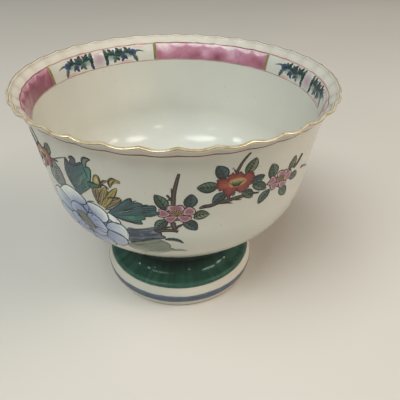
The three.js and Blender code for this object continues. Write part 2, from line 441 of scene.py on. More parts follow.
def headings(line):
    """The direction of a flat line at each of its points."""
    arms = [b - a for a, b in zip(line[:1] + line[:-1], line[1:] + line[-1:])]
    return [arm / (abs(arm) or 1) for arm in arms]


# How hard the brush is pressed along a stroke

def even(share):
    return min(1, 0.35 + 6 * share, 0.35 + 6 * (1 - share))


def tapered(share):
    return 1.1 - share


def slimmer(share):
    return 1 - 0.6 * share


def pointed(share):
    return math.sin(math.pi * min(1, 0.08 + share * 0.92)) ** 0.6


# Flat lines

def flat(points):
    return [complex(*p) for p in points]


def curve(points, spacing=0.6, closed=False):
    """A smooth line through flat points, at about even spacing."""
    count = len(points)
    line = []

    def corner(k):
        return points[k % count] if closed else points[max(0, min(count - 1, k))]

    for i in range(count if closed else count - 1):
        a, b, c, d = (corner(i + k) for k in (-1, 0, 1, 2))
        steps = max(2, round(abs(c - b) / spacing))
        for t in evenly(steps, 0, 1)[:-1]:
            line.append(0.5 * (2 * b + (c - a) * t + (2 * a - 5 * b + 4 * c - d) * t * t
                               + (3 * b - a - 3 * c + d) * t ** 3))
    return line if closed else line + [points[-1]]


def resampled(line, count):
    """A line's points at even distances."""
    lengths = [0.0]
    for a, b in zip(line, line[1:]):
        lengths.append(lengths[-1] + abs(b - a))
    spots = []
    for goal in evenly(count, 0, lengths[-1]):
        i = max(0, min(len(line) - 2, bisect.bisect_right(lengths, goal) - 1))
        share = (goal - lengths[i]) / ((lengths[i + 1] - lengths[i]) or 1)
        spots.append(line[i] + (line[i + 1] - line[i]) * share)
    return spots


def oval(centre, wide, tall, count=28):
    return [centre + complex(wide * math.cos(t), tall * math.sin(t)) for t in around(count)]


def near(point, middle, wide, tall):
    """1 at a middle, and softly fading away from it, to about a third at the given reach."""
    arm = point - complex(*middle)
    return math.exp(-(arm.real / wide) ** 2 - (arm.imag / tall) ** 2)


# Materials

def colour(code):
    """A linear colour from its hexadecimal screen colour."""
    channels = [int(code[i:i + 2], 16) / 255 for i in (0, 2, 4)]
    return tuple((c / 12.92 if c <= 0.04045 else ((c + 0.055) / 1.055) ** 2.4) for c in channels) + (1.0,)


class Shade:
    """A material with the few kinds of node that these surfaces use."""

    def __init__(self, name):
        self.material = bpy.data.materials.new(name)
        self.material.use_nodes = True
        self.tree = self.material.node_tree
        self.shader = self.tree.nodes["Principled BSDF"]
        self.place = self.tree.nodes.new("ShaderNodeTexCoord").outputs["Object"]

    def put(self, value, socket):
        """Links an output to a socket, or sets the socket to a colour's code or a plain value."""
        if isinstance(value, bpy.types.NodeSocket):
            self.tree.links.new(value, socket)
        else:
            socket.default_value = colour(value) if isinstance(value, str) else value

    def node(self, kind, **inputs):
        node = self.tree.nodes.new("ShaderNode" + kind)
        for key, value in inputs.items():
            self.put(value, node.inputs[key])
        return node

    def stretched(self, stretch):
        return self.node("Mapping", Scale=stretch, Vector=self.place).outputs["Vector"]

    def noise(self, scale, detail=3, roughness=0.5, vector=None):
        place = vector or self.place
        node = self.node("TexNoise", Scale=scale, Detail=detail, Roughness=roughness, Vector=place)
        return node.outputs["Fac"]

    def height(self):
        return self.node("SeparateXYZ", Vector=self.place).outputs["Z"]

    def attribute(self, name):
        node = self.node("Attribute")
        node.attribute_name = name
        return node.outputs["Fac"]

    def ramp(self, factor, *stops):
        node = self.node("ValToRGB", Fac=factor)
        elements = node.color_ramp.elements
        while len(elements) < len(stops):
            elements.new(0.5)
        for element, (position, value) in zip(elements, stops):
            element.position = position
            element.color = colour(value) if isinstance(value, str) else (value,) * 3 + (1,)
        return node.outputs["Color"]

    def blend(self, factor, first, second, mode="MIX"):
        node = self.node("Mix")
        node.data_type = "RGBA"
        node.blend_type = mode
        colours = [socket for socket in node.inputs if socket.type == "RGBA"]
        for value, socket in zip((factor, first, second), node.inputs[:1] + colours):
            self.put(value, socket)
        return next(socket for socket in node.outputs if socket.type == "RGBA")

    def maths(self, operation, *values, kind="Math", clamp=False):
        node = self.node(kind)
        node.operation = operation
        if clamp:
            node.use_clamp = True
        for value, socket in zip(values, [socket for socket in node.inputs if socket.enabled]):
            self.put(value, socket)
        return node.outputs[0]

    def around_and_up(self, turn, up):
        """Noise coordinates that go round the bowl and up it, so that streaks can be stretched along it."""
        unit = self.maths("NORMALIZE", self.stretched((1, 1, 0)), kind="VectorMath")
        wound = self.maths("SCALE", unit, turn, kind="VectorMath")
        return self.maths("ADD", wound, self.stretched((0, 0, up)), kind="VectorMath")

    def bump(self, height, distance, **under):
        return self.node("Bump", Distance=distance, Strength=1.0, Height=height, **under).outputs["Normal"]

    def edged(self, base, edge, start, most):
        """A base that turns to another colour, at most by the given share, where the fade is high."""
        return self.blend(self.ramp(self.attribute("fade"), (start, 0.0), (1.0, most)), base, edge)

    def finish(self, base, roughness, normal=None, **more):
        if normal:
            more["Normal"] = normal
        for key, value in {"Base Color": base, "Roughness": roughness, **more}.items():
            self.put(value, self.shader.inputs[key.replace("_", " ")])
        return self.material


def clear_glaze(name, light, shade, bare_below=None, warm_above=None):
    """White porcelain under a clear glaze, with faint clouds, rare iron specks and a slow ripple.

    Below a bare height in metres the glaze was wiped off and dull clay shows. Above a warm one it is pinker.
    """
    s = Shade(name)
    base = s.ramp(s.noise(22, 4), (0.3, shade), (0.7, light))
    specks = s.ramp(s.noise(900, 1), (0.0, "6f6353"), (0.185, "6f6353"), (0.2, "ffffff"))
    base = s.blend(1.0, base, specks, "MULTIPLY")
    if warm_above:
        blush = s.ramp(s.height(), (warm_above, "ffffff"), (warm_above + 0.002, "fff8f3"))
        base = s.blend(1.0, base, blush, "MULTIPLY")
    ripple = s.bump(s.noise(90, 2), 0.00008)
    peel = s.bump(s.noise(1100, 2), 0.0000035, Normal=ripple)
    gloss = s.ramp(s.noise(140), (0.3, 0.104), (0.75, 0.195))
    if bare_below:
        bare = s.maths("LESS_THAN", s.height(), bare_below)
        base = s.blend(bare, base, s.ramp(s.noise(1400), (0.3, "a79c88"), (0.7, "c3b9a5")))
        gloss = s.maths("MAXIMUM", gloss, s.maths("MULTIPLY", bare, 0.7))
    return s.finish(base, gloss, peel, Specular_IOR_Level=0.55)


def enamel(name, *stops, wash=0.35, grain=420, dark="3a3a3a", by="fade", shade="ffffff"):
    """A fired enamel: its colour goes by an attribute, under brushed washes and pooling.

    Where the colour goes by tone, the fade of the film deepens it with the shade.
    """
    s = Shade(name)
    streaks = s.maths("MULTIPLY", s.maths("SUBTRACT", s.noise(grain, 3, 0.6), 0.5), wash)
    base = s.ramp(s.maths("ADD", s.attribute(by), streaks, clamp=True), *stops)
    if by == "tone":
        base = s.blend(1.0, base, s.ramp(s.attribute("fade"), (0.1, "ffffff"), (0.95, shade)), "MULTIPLY")
    base = s.blend(s.ramp(s.noise(grain * 2.3, 2), (0.45, 0.0), (0.8, 0.35)), base, dark)
    gloss = s.ramp(s.noise(600, 2), (0.3, 0.112), (0.7, 0.24))
    return s.finish(base, gloss, s.bump(s.noise(1500, 2), 0.00001), Specular_IOR_Level=0.5)


def slip_material():
    s = Shade("fired_slip")
    base = s.ramp(s.noise(500, 4), (0.3, "a89f8d"), (0.7, "c4bca9"))
    return s.finish(base, 0.5, s.bump(s.noise(900), 0.00005))


def gilding_material():
    """Burnished gold on the lip, brown along both of its edges: partly thin gold, partly painted shade."""
    s = Shade("lip_gilding")
    gold = s.ramp(s.noise(260, 4, 0.65), (0.3, "bda377"), (0.5, "e2cfa9"), (0.75, "faf0da"))
    gloss = s.ramp(s.noise(420), (0.3, 0.1), (0.7, 0.22))
    # The brown edge colour is partly thin gold and partly painted shade along the gilt line's edges.
    return s.finish(s.edged(gold, "5d4729", 0.4, 1.0), gloss, s.bump(s.noise(800, 2), 0.00001), Metallic=0.6)


def divider_material():
    s = Shade("olive_gold")
    gold = s.ramp(s.noise(500), (0.3, "6b5f34"), (0.7, "98884f"))
    return s.finish(s.edged(gold, "b3a988", 0.4, 0.6), 0.28, s.bump(s.noise(1200, 2), 0.00002), Metallic=0.2)


def foot_glaze_material():
    """Thick bottle-green glaze, nearly black up the stem and greener over the shoulder: partly how deep the
    glaze lies, partly painted shade under the bowl.
    """
    s = Shade("bottle_green_glaze")
    streaks = s.noise(1, 3, 0.6, s.around_and_up(16, 30))
    # Up the stem the colour is nearly black: partly thicker glaze, partly painted shade under the bowl.
    thick_and_shaded = s.ramp(streaks, (0.3, "040d09"), (0.55, "06140f"), (0.75, "0d241d"))
    thin = s.ramp(streaks, (0.3, "2c4a3f"), (0.55, "36594c"), (0.75, "42695b"))
    # How far up the stem a point is: this sets the painted shade and the deeper glaze's colour and gloss.
    stem = s.ramp(s.height(), (0.016, 0.0), (0.0225, 1.0))
    gloss = s.ramp(stem, (0.0, 0.32), (0.6, 0.07))
    waves = s.bump(s.noise(1, 0, 0.5, s.around_and_up(5, 40)), 0.0009)
    base = s.blend(stem, thin, thick_and_shaded)
    return s.finish(base, gloss, waves, Specular_IOR_Level=0.4, Specular_Tint="dcf8ea")


def band_material(name, deep, pale, edge, other=None):
    """A band painted with a loaded brush: thin at its edges, and in another colour where its tone is 1."""
    s = Shade(name)
    base = s.ramp(s.noise(1, 4, 0.6, s.around_and_up(9, 900)), (0.3, deep), (0.7, pale))
    if other:
        base = s.blend(s.attribute("tone"), base, other)
    gloss = s.ramp(s.noise(500, 2), (0.3, 0.1), (0.7, 0.22))
    return s.finish(s.edged(base, edge, 0.45, 0.75), gloss, s.bump(s.noise(900, 2), 0.00001))


# The porcelain and the bands round it

def make_bowl():
    glaze = clear_glaze("porcelain_glaze", "cfccc0", "c6c4b9", warm_above=0.111)
    dress(turned_body("bowl", bowl), glaze, "porcelain", "bowl_body")


def belt_radius(height):
    low = height < BELT_HEIGHT
    reach = BELT_RADIUS - (BEARING_RADIUS if low else GROOVE_RADIUS)
    span = BELT_HEIGHT if low else GROOVE_HEIGHT - BELT_HEIGHT
    return BELT_RADIUS - reach * (abs(height - BELT_HEIGHT) / span) ** 2


def underside_height(radius):
    return WALL_FOOT - BOTTOM_RISE * math.sqrt(1 - (radius / WALL_RADIUS) ** 2)


def underside_run(radius):
    return bowl.nearest_run(underside_height(radius))


def flare(start, end, turn):
    return (end[0] + (start[0] - end[0]) * (1 - math.sin(turn)),
            start[1] + (end[1] - start[1]) * (1 - math.cos(turn)))


def stem_top(radius):
    """Where the foot meets the slip under the bowl."""
    _, _, normal = bowl.at(underside_run(radius))
    return radius + normal[0] * SEAM, underside_height(radius) + normal[1] * SEAM


def shoulder_points():
    """From the groove, over the rounded shoulder, up the hollow flare of the stem."""
    top = (GROOVE_RADIUS - SHOULDER_WIDTH, GROOVE_HEIGHT + SHOULDER_RISE)
    points = []
    for t in evenly(8, 0, QUARTER):
        points.append((GROOVE_RADIUS - SHOULDER_WIDTH * (1 - math.cos(t)) ** SHOULDER_BEND,
                       GROOVE_HEIGHT + SHOULDER_RISE * math.sin(t)))
    return points + [flare(top, stem_top(STEM_RADIUS), t) for t in evenly(30, 0, QUARTER)[1:]]


def foot_profile():
    """The foot's section: its flat face, the belt, the shoulder and stem outside, and back down the hollow.

    The edges of the flat face are eased a little.
    """
    inner = BEARING_RADIUS - BEARING_WIDTH
    bearing = [(inner + 0.25, 0), (BEARING_RADIUS - 0.4, 0), (BEARING_RADIUS - 0.08, 0.12)]
    heights = evenly(8, 0.35, BELT_HEIGHT) + evenly(6, BELT_HEIGHT, GROOVE_HEIGHT)[1:]
    belt = [(belt_radius(z), z) for z in heights]
    bend = (GROOVE_RADIUS - FOOT_WALL, GROOVE_HEIGHT - FOOT_WALL / 2)
    hollow = [flare(bend, stem_top(STEM_RADIUS - FOOT_WALL), t) for t in evenly(20, QUARTER, 0)]
    return bearing + belt + shoulder_points()[1:] + hollow + [(inner, 0.3)]


def make_foot():
    section = Section(foot_profile())
    foot = turned_loop("foot", lambda angle: [section.place(angle, r) for r in section.runs], FOOT_COLUMNS)
    glaze = clear_glaze("foot_porcelain_glaze", "cfcabb", "c2bdae", bare_below=0.0006)
    dress(foot, glaze, "porcelain", "pedestal_foot")
    glazed = Section(shoulder_points())
    low, high = 0.15, glazed.runs[-1] - 0.1
    ring = coat_ring(glazed, low, high, thickness=0.3, steps=40, waver=0.05, seed=5, soft=2)
    coat = turned_loop("green_glaze_coat", ring, BAND_COLUMNS)
    dress(coat, foot_glaze_material(), "green_glaze", "green_foot_glaze")
    band = Section([(belt_radius(z), z) for z in evenly(42, 0, GROOVE_HEIGHT)])
    low, high = (band.nearest_run(z) for z in (BLUE_BAND, BLUE_BAND + BLUE_BAND_WIDTH))
    ring = coat_ring(band, low, high, thickness=0.1, steps=10, waver=0.16, seed=8)
    underglaze_blue = band_material("underglaze_blue", "3f4a59", "55637a", "6f7a86")
    dress(turned_loop("blue_band", ring, BAND_COLUMNS), underglaze_blue, "blue_enamel", "blue_foot_band")


def make_slip():
    low, high = underside_run(STEM_RADIUS - FOOT_WALL), underside_run(STEM_RADIUS)
    middle = SEAM / 2
    half = middle - SEAM_GAP

    def ring_at(angle):
        top = [bowl.place(angle, r, SEAM_GAP) for r in evenly(4, low, high)]
        bulge = [bowl.place(angle, high + SEAM_BULGE * math.sin(t), middle - half * math.cos(t))
                 for t in evenly(4, 0, math.pi)[1:-1]]
        return top + bulge + [bowl.place(angle, r, SEAM - SEAM_GAP) for r in evenly(4, high, low)]

    dress(turned_loop("joint_slip", ring_at, FOOT_COLUMNS), slip_material(), "slip", "luting_slip")


def over_pink(angle):
    """1 over a pink panel and 0 over a white one."""
    turn = (math.degrees(angle) - FIRST_DIVIDER) % 360 / PANEL_TURN
    return 1.0 if int(turn) % 2 == 0 else 0.0


def make_rim_lines():
    """The gilt edge, the line under it outside, and the border's two lines."""
    low, high = bowl.nearest_run(LIP_HEIGHT + GILT_SPREAD), lip_run + GILT_SPREAD
    ring = coat_ring(bowl, low, high, thickness=0.12, steps=8, waver=0.05, seed=1)
    dress(turned_loop("gilt_edge", ring), gilding_material(), "gilding", "rim_gilding")
    low, high = (bowl.nearest_run(z) for z in (OUTER_LINE - OUTER_LINE_WIDTH, OUTER_LINE))
    ring = coat_ring(bowl, low - 0.08, high + 0.08, thickness=0.08, steps=6, waver=0.1, seed=2, level=0.6)
    mauve_red = band_material("mauve_red_line", "5f3038", "74424a", "9a847c")
    dress(turned_loop("outer_line", ring), mauve_red, "red_enamel", "outer_rim_line")
    low, high = inside_run(BORDER_TOP), inside_run(BORDER_TOP - BORDER_LINE)
    ring = coat_ring(bowl, low, high, thickness=0.1, steps=6, waver=0.14, seed=3)
    iron_red = band_material("iron_red_line", "a0736c", "b98e84", "c9b7aa", other="87474f")
    top = turned_loop("border_upper_line", ring, tone_at=over_pink)
    dress(top, iron_red, "iron_red_enamel", "border_top_line")
    low, high = inside_run(BORDER_FOOT + BORDER_LINE), inside_run(BORDER_FOOT)
    ring = coat_ring(bowl, low, high, thickness=0.08, steps=6, waver=0.12, seed=4)
    pale_red = band_material("pale_red_line", "a07676", "b99a92", "c9beb0")
    dress(turned_loop("border_lower_line", ring), pale_red, "red_enamel", "border_foot_line")


# The border of panels

def divider_at(index):
    return FIRST_DIVIDER + index * PANEL_TURN


HALF_DIVIDER = math.degrees(DIVIDER_WIDTH / 2 / (LIP_RADIUS - LIP_THICKNESS))


def panel_rows(start, end, step=0.5):
    """Flat rows of points between the border's two lines, from one angle in degrees to another."""
    x0, x1 = (math.radians(a) * FLAT_RADIUS for a in (start, end))
    edges = (BORDER_FOOT + BORDER_LINE, BORDER_TOP - BORDER_LINE)
    y0, y1 = (inside_run(WALL_FOOT) - inside_run(z) for z in edges)
    across = evenly(max(4, round(abs(y1 - y0) / step)), y0, y1)
    return [[complex(x, y) for y in across] for x in evenly(max(2, round(abs(x1 - x0) / step)), x0, x1)]


def make_dividers():
    gold = divider_material()
    for i in range(PANELS):
        bar = Paint(f"divider_{i + 1}", on_inside)
        rows = panel_rows(divider_at(i) - HALF_DIVIDER, divider_at(i) + HALF_DIVIDER)
        count = len(rows[0])
        bar.grid(rows, [0.09] * count, [[0.5] * count] * len(rows))
        bar.build(gold, "divider_gilding", f"panel_divider_{i + 1}")


def panel_washes(seed):
    """How pale a pink panel is at a flat point: 0 is deep rose and 1 a pale cloud along its top edge.

    The last of the panels is darker than the others, with stronger folds.
    """
    depth, folding = (0.4, 0.3) if seed == PANELS - 2 else (0.0, 0.06)
    choose = random.Random(seed)
    stains = [(choose.uniform(0, 70), choose.uniform(0.05, 0.5), choose.uniform(2, 4)) for _ in range(9)]
    lights = [(choose.uniform(0, 70), choose.uniform(0.3, 0.8), choose.uniform(3, 6)) for _ in range(6)]

    def fade_at(along, share):
        dip = abs(math.sin(math.pi * along / 10))
        pale = smooth(-0.06, 0.1, share - (0.76 + 0.2 * (1 - dip) ** 1.5))
        fold = (along / 11 + 0.9 * share) % 1
        body = 0.38 + 0.1 * share - depth + folding * (fold - 0.5)
        for clouds, strength, tall in ((stains, -0.22, 0.26), (lights, 0.26, 0.3)):
            for x, y, reach in clouds:
                body += strength * near(complex(along, share), (x, y), reach, tall)
        return held(body + pale * 0.46)

    return fade_at


def make_pink_panels():
    stops = ((0, "83485a"), (0.3, "a9697c"), (0.5, "b98094"), (0.75, "cda4b0"), (1, "dfc9c8"))
    rose = enamel("rose_wash", *stops, wash=0.2, grain=200, dark="8f5a68")
    for i in range(0, PANELS, 2):
        field = Paint(f"rose_panel_{i // 2 + 1}", on_inside)
        rows = panel_rows(divider_at(i) + HALF_DIVIDER, divider_at(i + 1) - HALF_DIVIDER)
        wash = panel_washes(i)
        shares = evenly(len(rows[0]) - 1, 0, 1)
        fades = [[wash(row[0].real - rows[0][0].real, share) for share in shares] for row in rows]
        field.grid(rows, [0.07] * len(shares), fades)
        field.build(rose, "pink_enamel", f"pink_panel_{i // 2 + 1}")


VINE_PAINTS = {
    "green_vines": ("vine_green", "green_glaze", ((0, "0c2822"), (1, "26493e")), "0e231e"),
    "blue_vines": ("vine_blue", "blue_enamel", ((0, "26334e"), (1, "47577a")), "1c2439"),
    "grey_vines": ("vine_grey", "green_glaze", ((0, "414d4b"), (1, "6c7a77")), "333d3b"),
    "vine_washes": ("vine_wash", "green_glaze", ((0, "6f8986"), (0.6, "8ea19b"), (1, "bfc4b9")), "718885"),
    "lilac_washes": ("lilac_wash", "pink_enamel", ((0, "ab939e"), (0.5, "b8a6aa"), (1, "cbc7bb")), "a0868f"),
    "blush_washes": ("blush_wash", "pink_enamel", ((0, "c79f9f"), (0.7, "ccb0ab"), (1, "cdc2b8")), "bb8f90"),
}
BLUSHES = ((-26, 3.9, 3.4), (-15, 3.9, 4.4), (-17, -3.9, 4.6), (11, 3.9, 3.6), (20, -3.9, 4.4))


def make_white_panels():
    """Leafy vines on the white panels, one on each side of a lilac wash."""
    films = {name: Paint("border_" + name, on_inside) for name in VINE_PAINTS}
    middle_run = inside_run(WALL_FOOT) - inside_run((BORDER_TOP + BORDER_FOOT) / 2)
    for i in range(1, PANELS, 2):
        centre = complex(math.radians(divider_at(i + 0.5)) * FLAT_RADIUS, middle_run)
        films["lilac_washes"].patch(oval(centre, 5.0, 4.6), centre, 0, WASH)
        for side in (-1, 1):
            draw_vine(films, lambda x, y: centre + complex(side * x, y))
        for x, y, wide in BLUSHES:
            spot = centre + complex(x, y)
            films["blush_washes"].patch(oval(spot, wide, 0.75), spot, 0, WASH)
    for name, (material, slot, stops, dark) in VINE_PAINTS.items():
        films[name].build(enamel(material, *stops, dark=dark), slot)


VINE_WASHES = ((8.2, 0.6, 3.8, 2.9), (13.6, 0.5, 4.4, 2.5), (19.4, 0.5, 3.8, 2.4))
VINE_LEAVES = (
    ("green_vines", 8.2, 2.1, 2.3, 1.6), ("grey_vines", 10.8, -1, 2, 1.5),
    ("green_vines", 13.2, 2, 2.5, 1.7), ("blue_vines", 15.8, -0.9, 1.9, 1.4),
    ("green_vines", 18.2, 2, 2.1, 1.5),
)


def draw_vine(films, at):
    """Half of a white panel: an upright stroke, a waving stem with lumps of leaf, a blue bud and a tail."""
    green, blue, grey = (films[name] for name in ("green_vines", "blue_vines", "grey_vines"))

    def line(film, width, level, *spots, pressure=pointed):
        film.stroke(curve([at(x, y) for x, y in spots]), width, level, pressure=pressure)

    for x, y, wide, tall in VINE_WASHES:
        films["vine_washes"].patch(oval(at(x, y), wide, tall), at(x, y), 0, WASH)
    line(grey, 2.2, 0.06, (4.0, 4.7), (4.9, 3), (4.7, 1))
    line(green, 2.6, 0.08, (4.6, 3.2), (5.0, 0.6), (4.6, -1.8))
    line(blue, 2.0, 0.06, (4.8, -0.4), (5.1, -2.4), (4.2, -4.8))
    waves = [(5 + 2 * k, 0.9 + 0.8 * math.sin(1.25 * k)) for k in range(10)]
    line(green, 1.6, 0.06, *waves)
    line(grey, 1.0, 0.05, *[(x, y - 0.6) for x, y in waves[2:]])
    for k, (name, x, y, wide, tall) in enumerate(VINE_LEAVES):
        films[name].patch(oval(at(x, y), wide, tall), at(x, y), 0.04, 0.05)
        away = 1 if y > 0 else -1
        line(films[name], 1.7, 0.07, (x - 1.6, y + 2.4 * away), (x - 0.6, y + 1.5 * away), (x, y))
        line((blue, green)[k % 2], 1.5, 0.07, (x, y), (x + 1.5, y + 0.9 * away), (x + 2.1, y + 1.9 * away))
    blue.patch(oval(at(21.4, 0.9), 2.3, 2.0), at(21.4, 0.9), 0.04, 0.05)
    line(green, 1.7, 0.1, (18.4, 2.4), (20.0, 1.2), (21.4, 1.1))
    line(grey, 2.4, 0.05, (21.8, 0), (22.9, -2.2), (24.1, -4.6))
    line(grey, 1.4, 0.05, (22.8, 1.4), (25.4, 1.6), (28.6, 0.7), pressure=tapered)


# Motifs of the sprays: how a leaf, a petal and a twig are drawn

BROWN, DARK, SLATE, DIM = "brown_outlines", "dark_outlines", "slate_outlines", "dim_strokes"
OLIVE, GREY, MAGENTA, CRIMSON = "olive_outlines", "grey_outlines", "magenta_outlines", "crimson_outlines"
LINE_RISE = 0.07  # an outline lies this far above the foot of its film
HEAVY_LINE = 0.5
FINE_LINE = 0.4
ON_FILM = FILM + 0.005  # the level of strokes on a film that starts on the porcelain
ON_LEAF = ON_FILM + 0.02  # the level of strokes on a leaf that lies over another film

paints = {}


def paint(name):
    return paints.setdefault(name, Paint(name))


def evenly_faded(fade):
    return lambda point, share: fade


def shape(outline, middle, fill, ink, level=0.0, tone=0.5, fade_at=outwards, line=0.34):
    """A motif inside its own outline of flat points."""
    border = curve(outline, closed=True)
    paint(fill).patch(border, middle, level, FILM, tone, fade_at)
    if ink:
        paint(ink).stroke(border + border[:1], line, level + LINE_RISE)


def drawn(outline, middle, *finish, **more):
    shape(flat(outline), complex(*middle), *finish, **more)


def marks(*rows, ink=BROWN, level=0.1):
    """Pointed strokes: the width of each, and then its points."""
    for width, *points in rows:
        paint(ink).stroke(curve(flat(points)), width, level, pressure=pointed)


def hatch(start, end, along, count, width, ink, level, seed):
    """Loose strokes side by side: they begin between start and end and run alike."""
    choose = random.Random(seed)
    start, end, along = flat((start, end, along))
    for share in evenly(count - 1, 0, 1):
        first = start + (end - start) * share
        first += complex(choose.uniform(-0.3, 0.3), choose.uniform(-0.4, 0.4))
        run = along * choose.uniform(0.55, 1.1)
        bow = run * 0.5 + run * 1j * choose.uniform(-0.05, 0.05)
        line = curve([first, first + bow, first + run])
        paint(ink).stroke(line, width * choose.uniform(0.7, 1.2), level, 0.03, pressure=pointed)


def blade(base, tip, width, bend, spacing, fullness):
    """The spine and both edges of a blade. Fullness gives its relative width along the way."""
    base, tip = flat((base, tip))
    axis = tip - base
    across = axis / abs(axis) * 1j
    shares = evenly(max(10, round(abs(axis) / spacing)), 0, 1)
    spine = [base + axis * t + across * bend * abs(axis) * 4 * t * (1 - t) for t in shares]
    halves = [across * width / 2 * fullness(t) for t in shares]
    return spine, [p + half for p, half in zip(spine, halves)], [p - half for p, half in zip(spine, halves)]


def leaf(base, tip, width, bend, tone, veins=4, level=0.0):
    """A pointed leaf: a film darker on one side, a thick outline, a midrib and side veins."""
    spine, left, right = blade(base, tip, width, bend, 0.45, lambda t: math.sin(math.pi * t ** 0.85) ** 0.72)
    paint("painted_leaves").between(left, right, level, tone, (1, 0.85, 0.6, 0.15, 0.3))
    ink = paint(DARK)
    over = level + ON_FILM
    ink.stroke(left, 0.58, level + 0.06, pressure=pointed)
    ink.stroke(right, HEAVY_LINE, level + 0.06, pressure=pointed)
    ink.stroke(spine[:-1], 0.56, over + 0.01, pressure=tapered)
    count = len(spine) - 1
    axis = complex(*tip) - complex(*base)
    for k in range(veins):
        i = round(count * (0.12 + 0.62 * k / max(1, veins - 1)))
        j = min(count - 1, i + max(2, round(count * 0.2)))
        for edge in (left, right):
            end = spine[i] + (edge[j] - spine[i]) * 0.88
            side = curve([spine[i], (spine[i] + end) / 2 + axis / abs(axis) * 0.14, end], 0.7)
            ink.stroke(side, 0.46, over, 0.03, pressure=tapered)


def leaves(*rows):
    """Several leaves: the base, tip, width, bend and tone of each, and perhaps its veins and level."""
    for row in rows:
        leaf(*row)


def bough(width, *points, pressure=slimmer, level=0.03):
    """A twig: a brown film between two dark lines."""
    line = curve(flat(points))
    paint("twig_brown").stroke(line, width, level, pressure=pressure)
    halves = [width / 2 * max(0.1, pressure(share)) for share in evenly(len(line) - 1, 0, 1)]
    for side in (-1, 1):
        edge = [p + heading * 1j * side * half for p, heading, half in zip(line, headings(line), halves)]
        paint(BROWN).stroke(edge, 0.45, level + 0.05)


def placing(x, y, turn=0.0, mirrored=False):
    """A function that takes a drawing about nought to a place, turned by degrees and perhaps mirrored."""
    spun = cmath.rect(1, math.radians(turn))

    def placed(*points):
        return [complex(x, y) + spun * (-p.conjugate() if mirrored else p) for p in flat(points)]

    return placed


PINK_PETALS = (
    ((-3.6, 3.3), (-3.1, 4.8), (-1.4, 5.2), (0, 4.8), (1.5, 5.2), (2.8, 4.1), (2.8, 2.8), (1.2, 1.4),
     (-1.6, 1.4)),
    ((-6.8, 2.9), (-4.8, 2.6), (-3.5, 1.5), (-2.6, 0.2), (-4.8, -1.3), (-7.3, -0.8), (-6.7, 0.8)),
    ((2.3, 0.9), (3.2, 3.2), (5, 4.2), (6.8, 2.7), (7.2, 0.8), (5.8, -0.2), (3.5, -0.3)),
    ((0, -0.8), (-0.6, -2.7), (-2.3, -4.3), (-4, -3.2), (-5.1, -1.6), (-3, -0.7)),
    ((0.2, -0.9), (1.3, -3.2), (3, -4.1), (5, -3.2), (5.8, -1.6), (4, -0.6), (2, -0.6)),
)
PINK_STAMENS = ((-2.9, 0.9), (-2.6, 2.2), (-1.4, 2.9), (0, 3.1), (1.4, 2.9), (2.6, 2.2), (2.9, 1),
                (1.5, -0.6), (0, -1.2), (-1.5, -0.6))


def pink_blossom(x, y, turn=0.0, mirrored=False):
    """Five mauve petals with pale margins round a fan of stamens."""
    centre = complex(x, y)
    placed = placing(x, y, turn, mirrored)
    ground = placing(x, y, turn)(*[(4.6 * math.cos(t), 3.1 * math.sin(t)) for t in around(20)])
    shape(ground, centre, "pink_petals", MAGENTA, 0.03, fade_at=evenly_faded(0.1), line=FINE_LINE)
    for k, petal in enumerate(PINK_PETALS):
        outline = placed(*petal)
        shape(outline, sum(outline) / len(outline), "pink_petals", MAGENTA, 0.08 + 0.004 * k,
              fade_at=lambda point, share: 0.2 + 0.8 * smooth(0.5, 0.95, share), line=0.46)
    shape(placed(*PINK_STAMENS), centre + 0.7j, "pink_petals", None, 0.115, fade_at=evenly_faded(0.25))
    for k, t in enumerate(evenly(14, -1.3, 1.3)):
        spread, reach = 2.7 * math.sin(t), 2.9 * math.cos(t)
        rib = placed((spread * 0.1, -0.7), (spread * 0.5, reach * 0.4), (spread, reach))
        ink, width = (("stamen_yellow", 0.42), (BROWN, 0.44))[k % 2]
        paint(ink).stroke(curve(rib, 0.4), width, 0.2 + 0.015 * (k % 2))


RED_SILHOUETTE = (
    (-3.7, 3.5), (-3, 4.8), (-1.8, 5.2), (-0.8, 4.5), (0.5, 5.1), (1.9, 4.5), (2.7, 3.2), (4.5, 4.4),
    (5.9, 3.8), (7, 2.3), (7.3, 0.6), (6.6, -1), (6, -2.4), (4.7, -4), (3.2, -5), (1.5, -4.4), (0.2, -3),
    (-0.9, -4.8), (-2.5, -5.6), (-4, -4.4), (-4.8, -2.5), (-6.3, -2), (-7.3, -0.5), (-7.4, 1.3),
    (-7.3, 3), (-5.8, 3.3), (-4, 2.8),
)
RED_FOLDS = (((-3.8, 2.8), (-3.1, 1.5)), ((2.7, 3.1), (3.3, 1.8)), ((-4.8, -2.4), (-3.3, -1.7)),
             ((0.1, -3), (0.2, -2)), ((6.1, -2.4), (4.5, -1.6)))
RED_STAMENS = ((-3.3, -0.7), (-3.2, 1.9), (-1.3, 2.8), (1.7, 2.8), (3.9, 1.5), (4.3, -0.2), (2.7, -1.4),
               (0.2, -1.9), (-2.3, -1.6))


def frilled(outline, wave=1.8, depth=0.85, steps=6):
    """A closed line with small scallops all round it."""
    smoothed = curve(outline, 0.3, closed=True)
    smoothed += smoothed[:1]
    length = sum(abs(b - a) for a, b in zip(smoothed, smoothed[1:]))
    line = resampled(smoothed, steps * round(length / wave))[:-1]
    frill = []
    for i, p in enumerate(line):
        heading = line[(i + 1) % len(line)] - line[i - 1]
        frill.append(p + heading / abs(heading) * 1j * depth * (abs(math.sin(math.pi * i / steps)) - 0.6))
    return frill


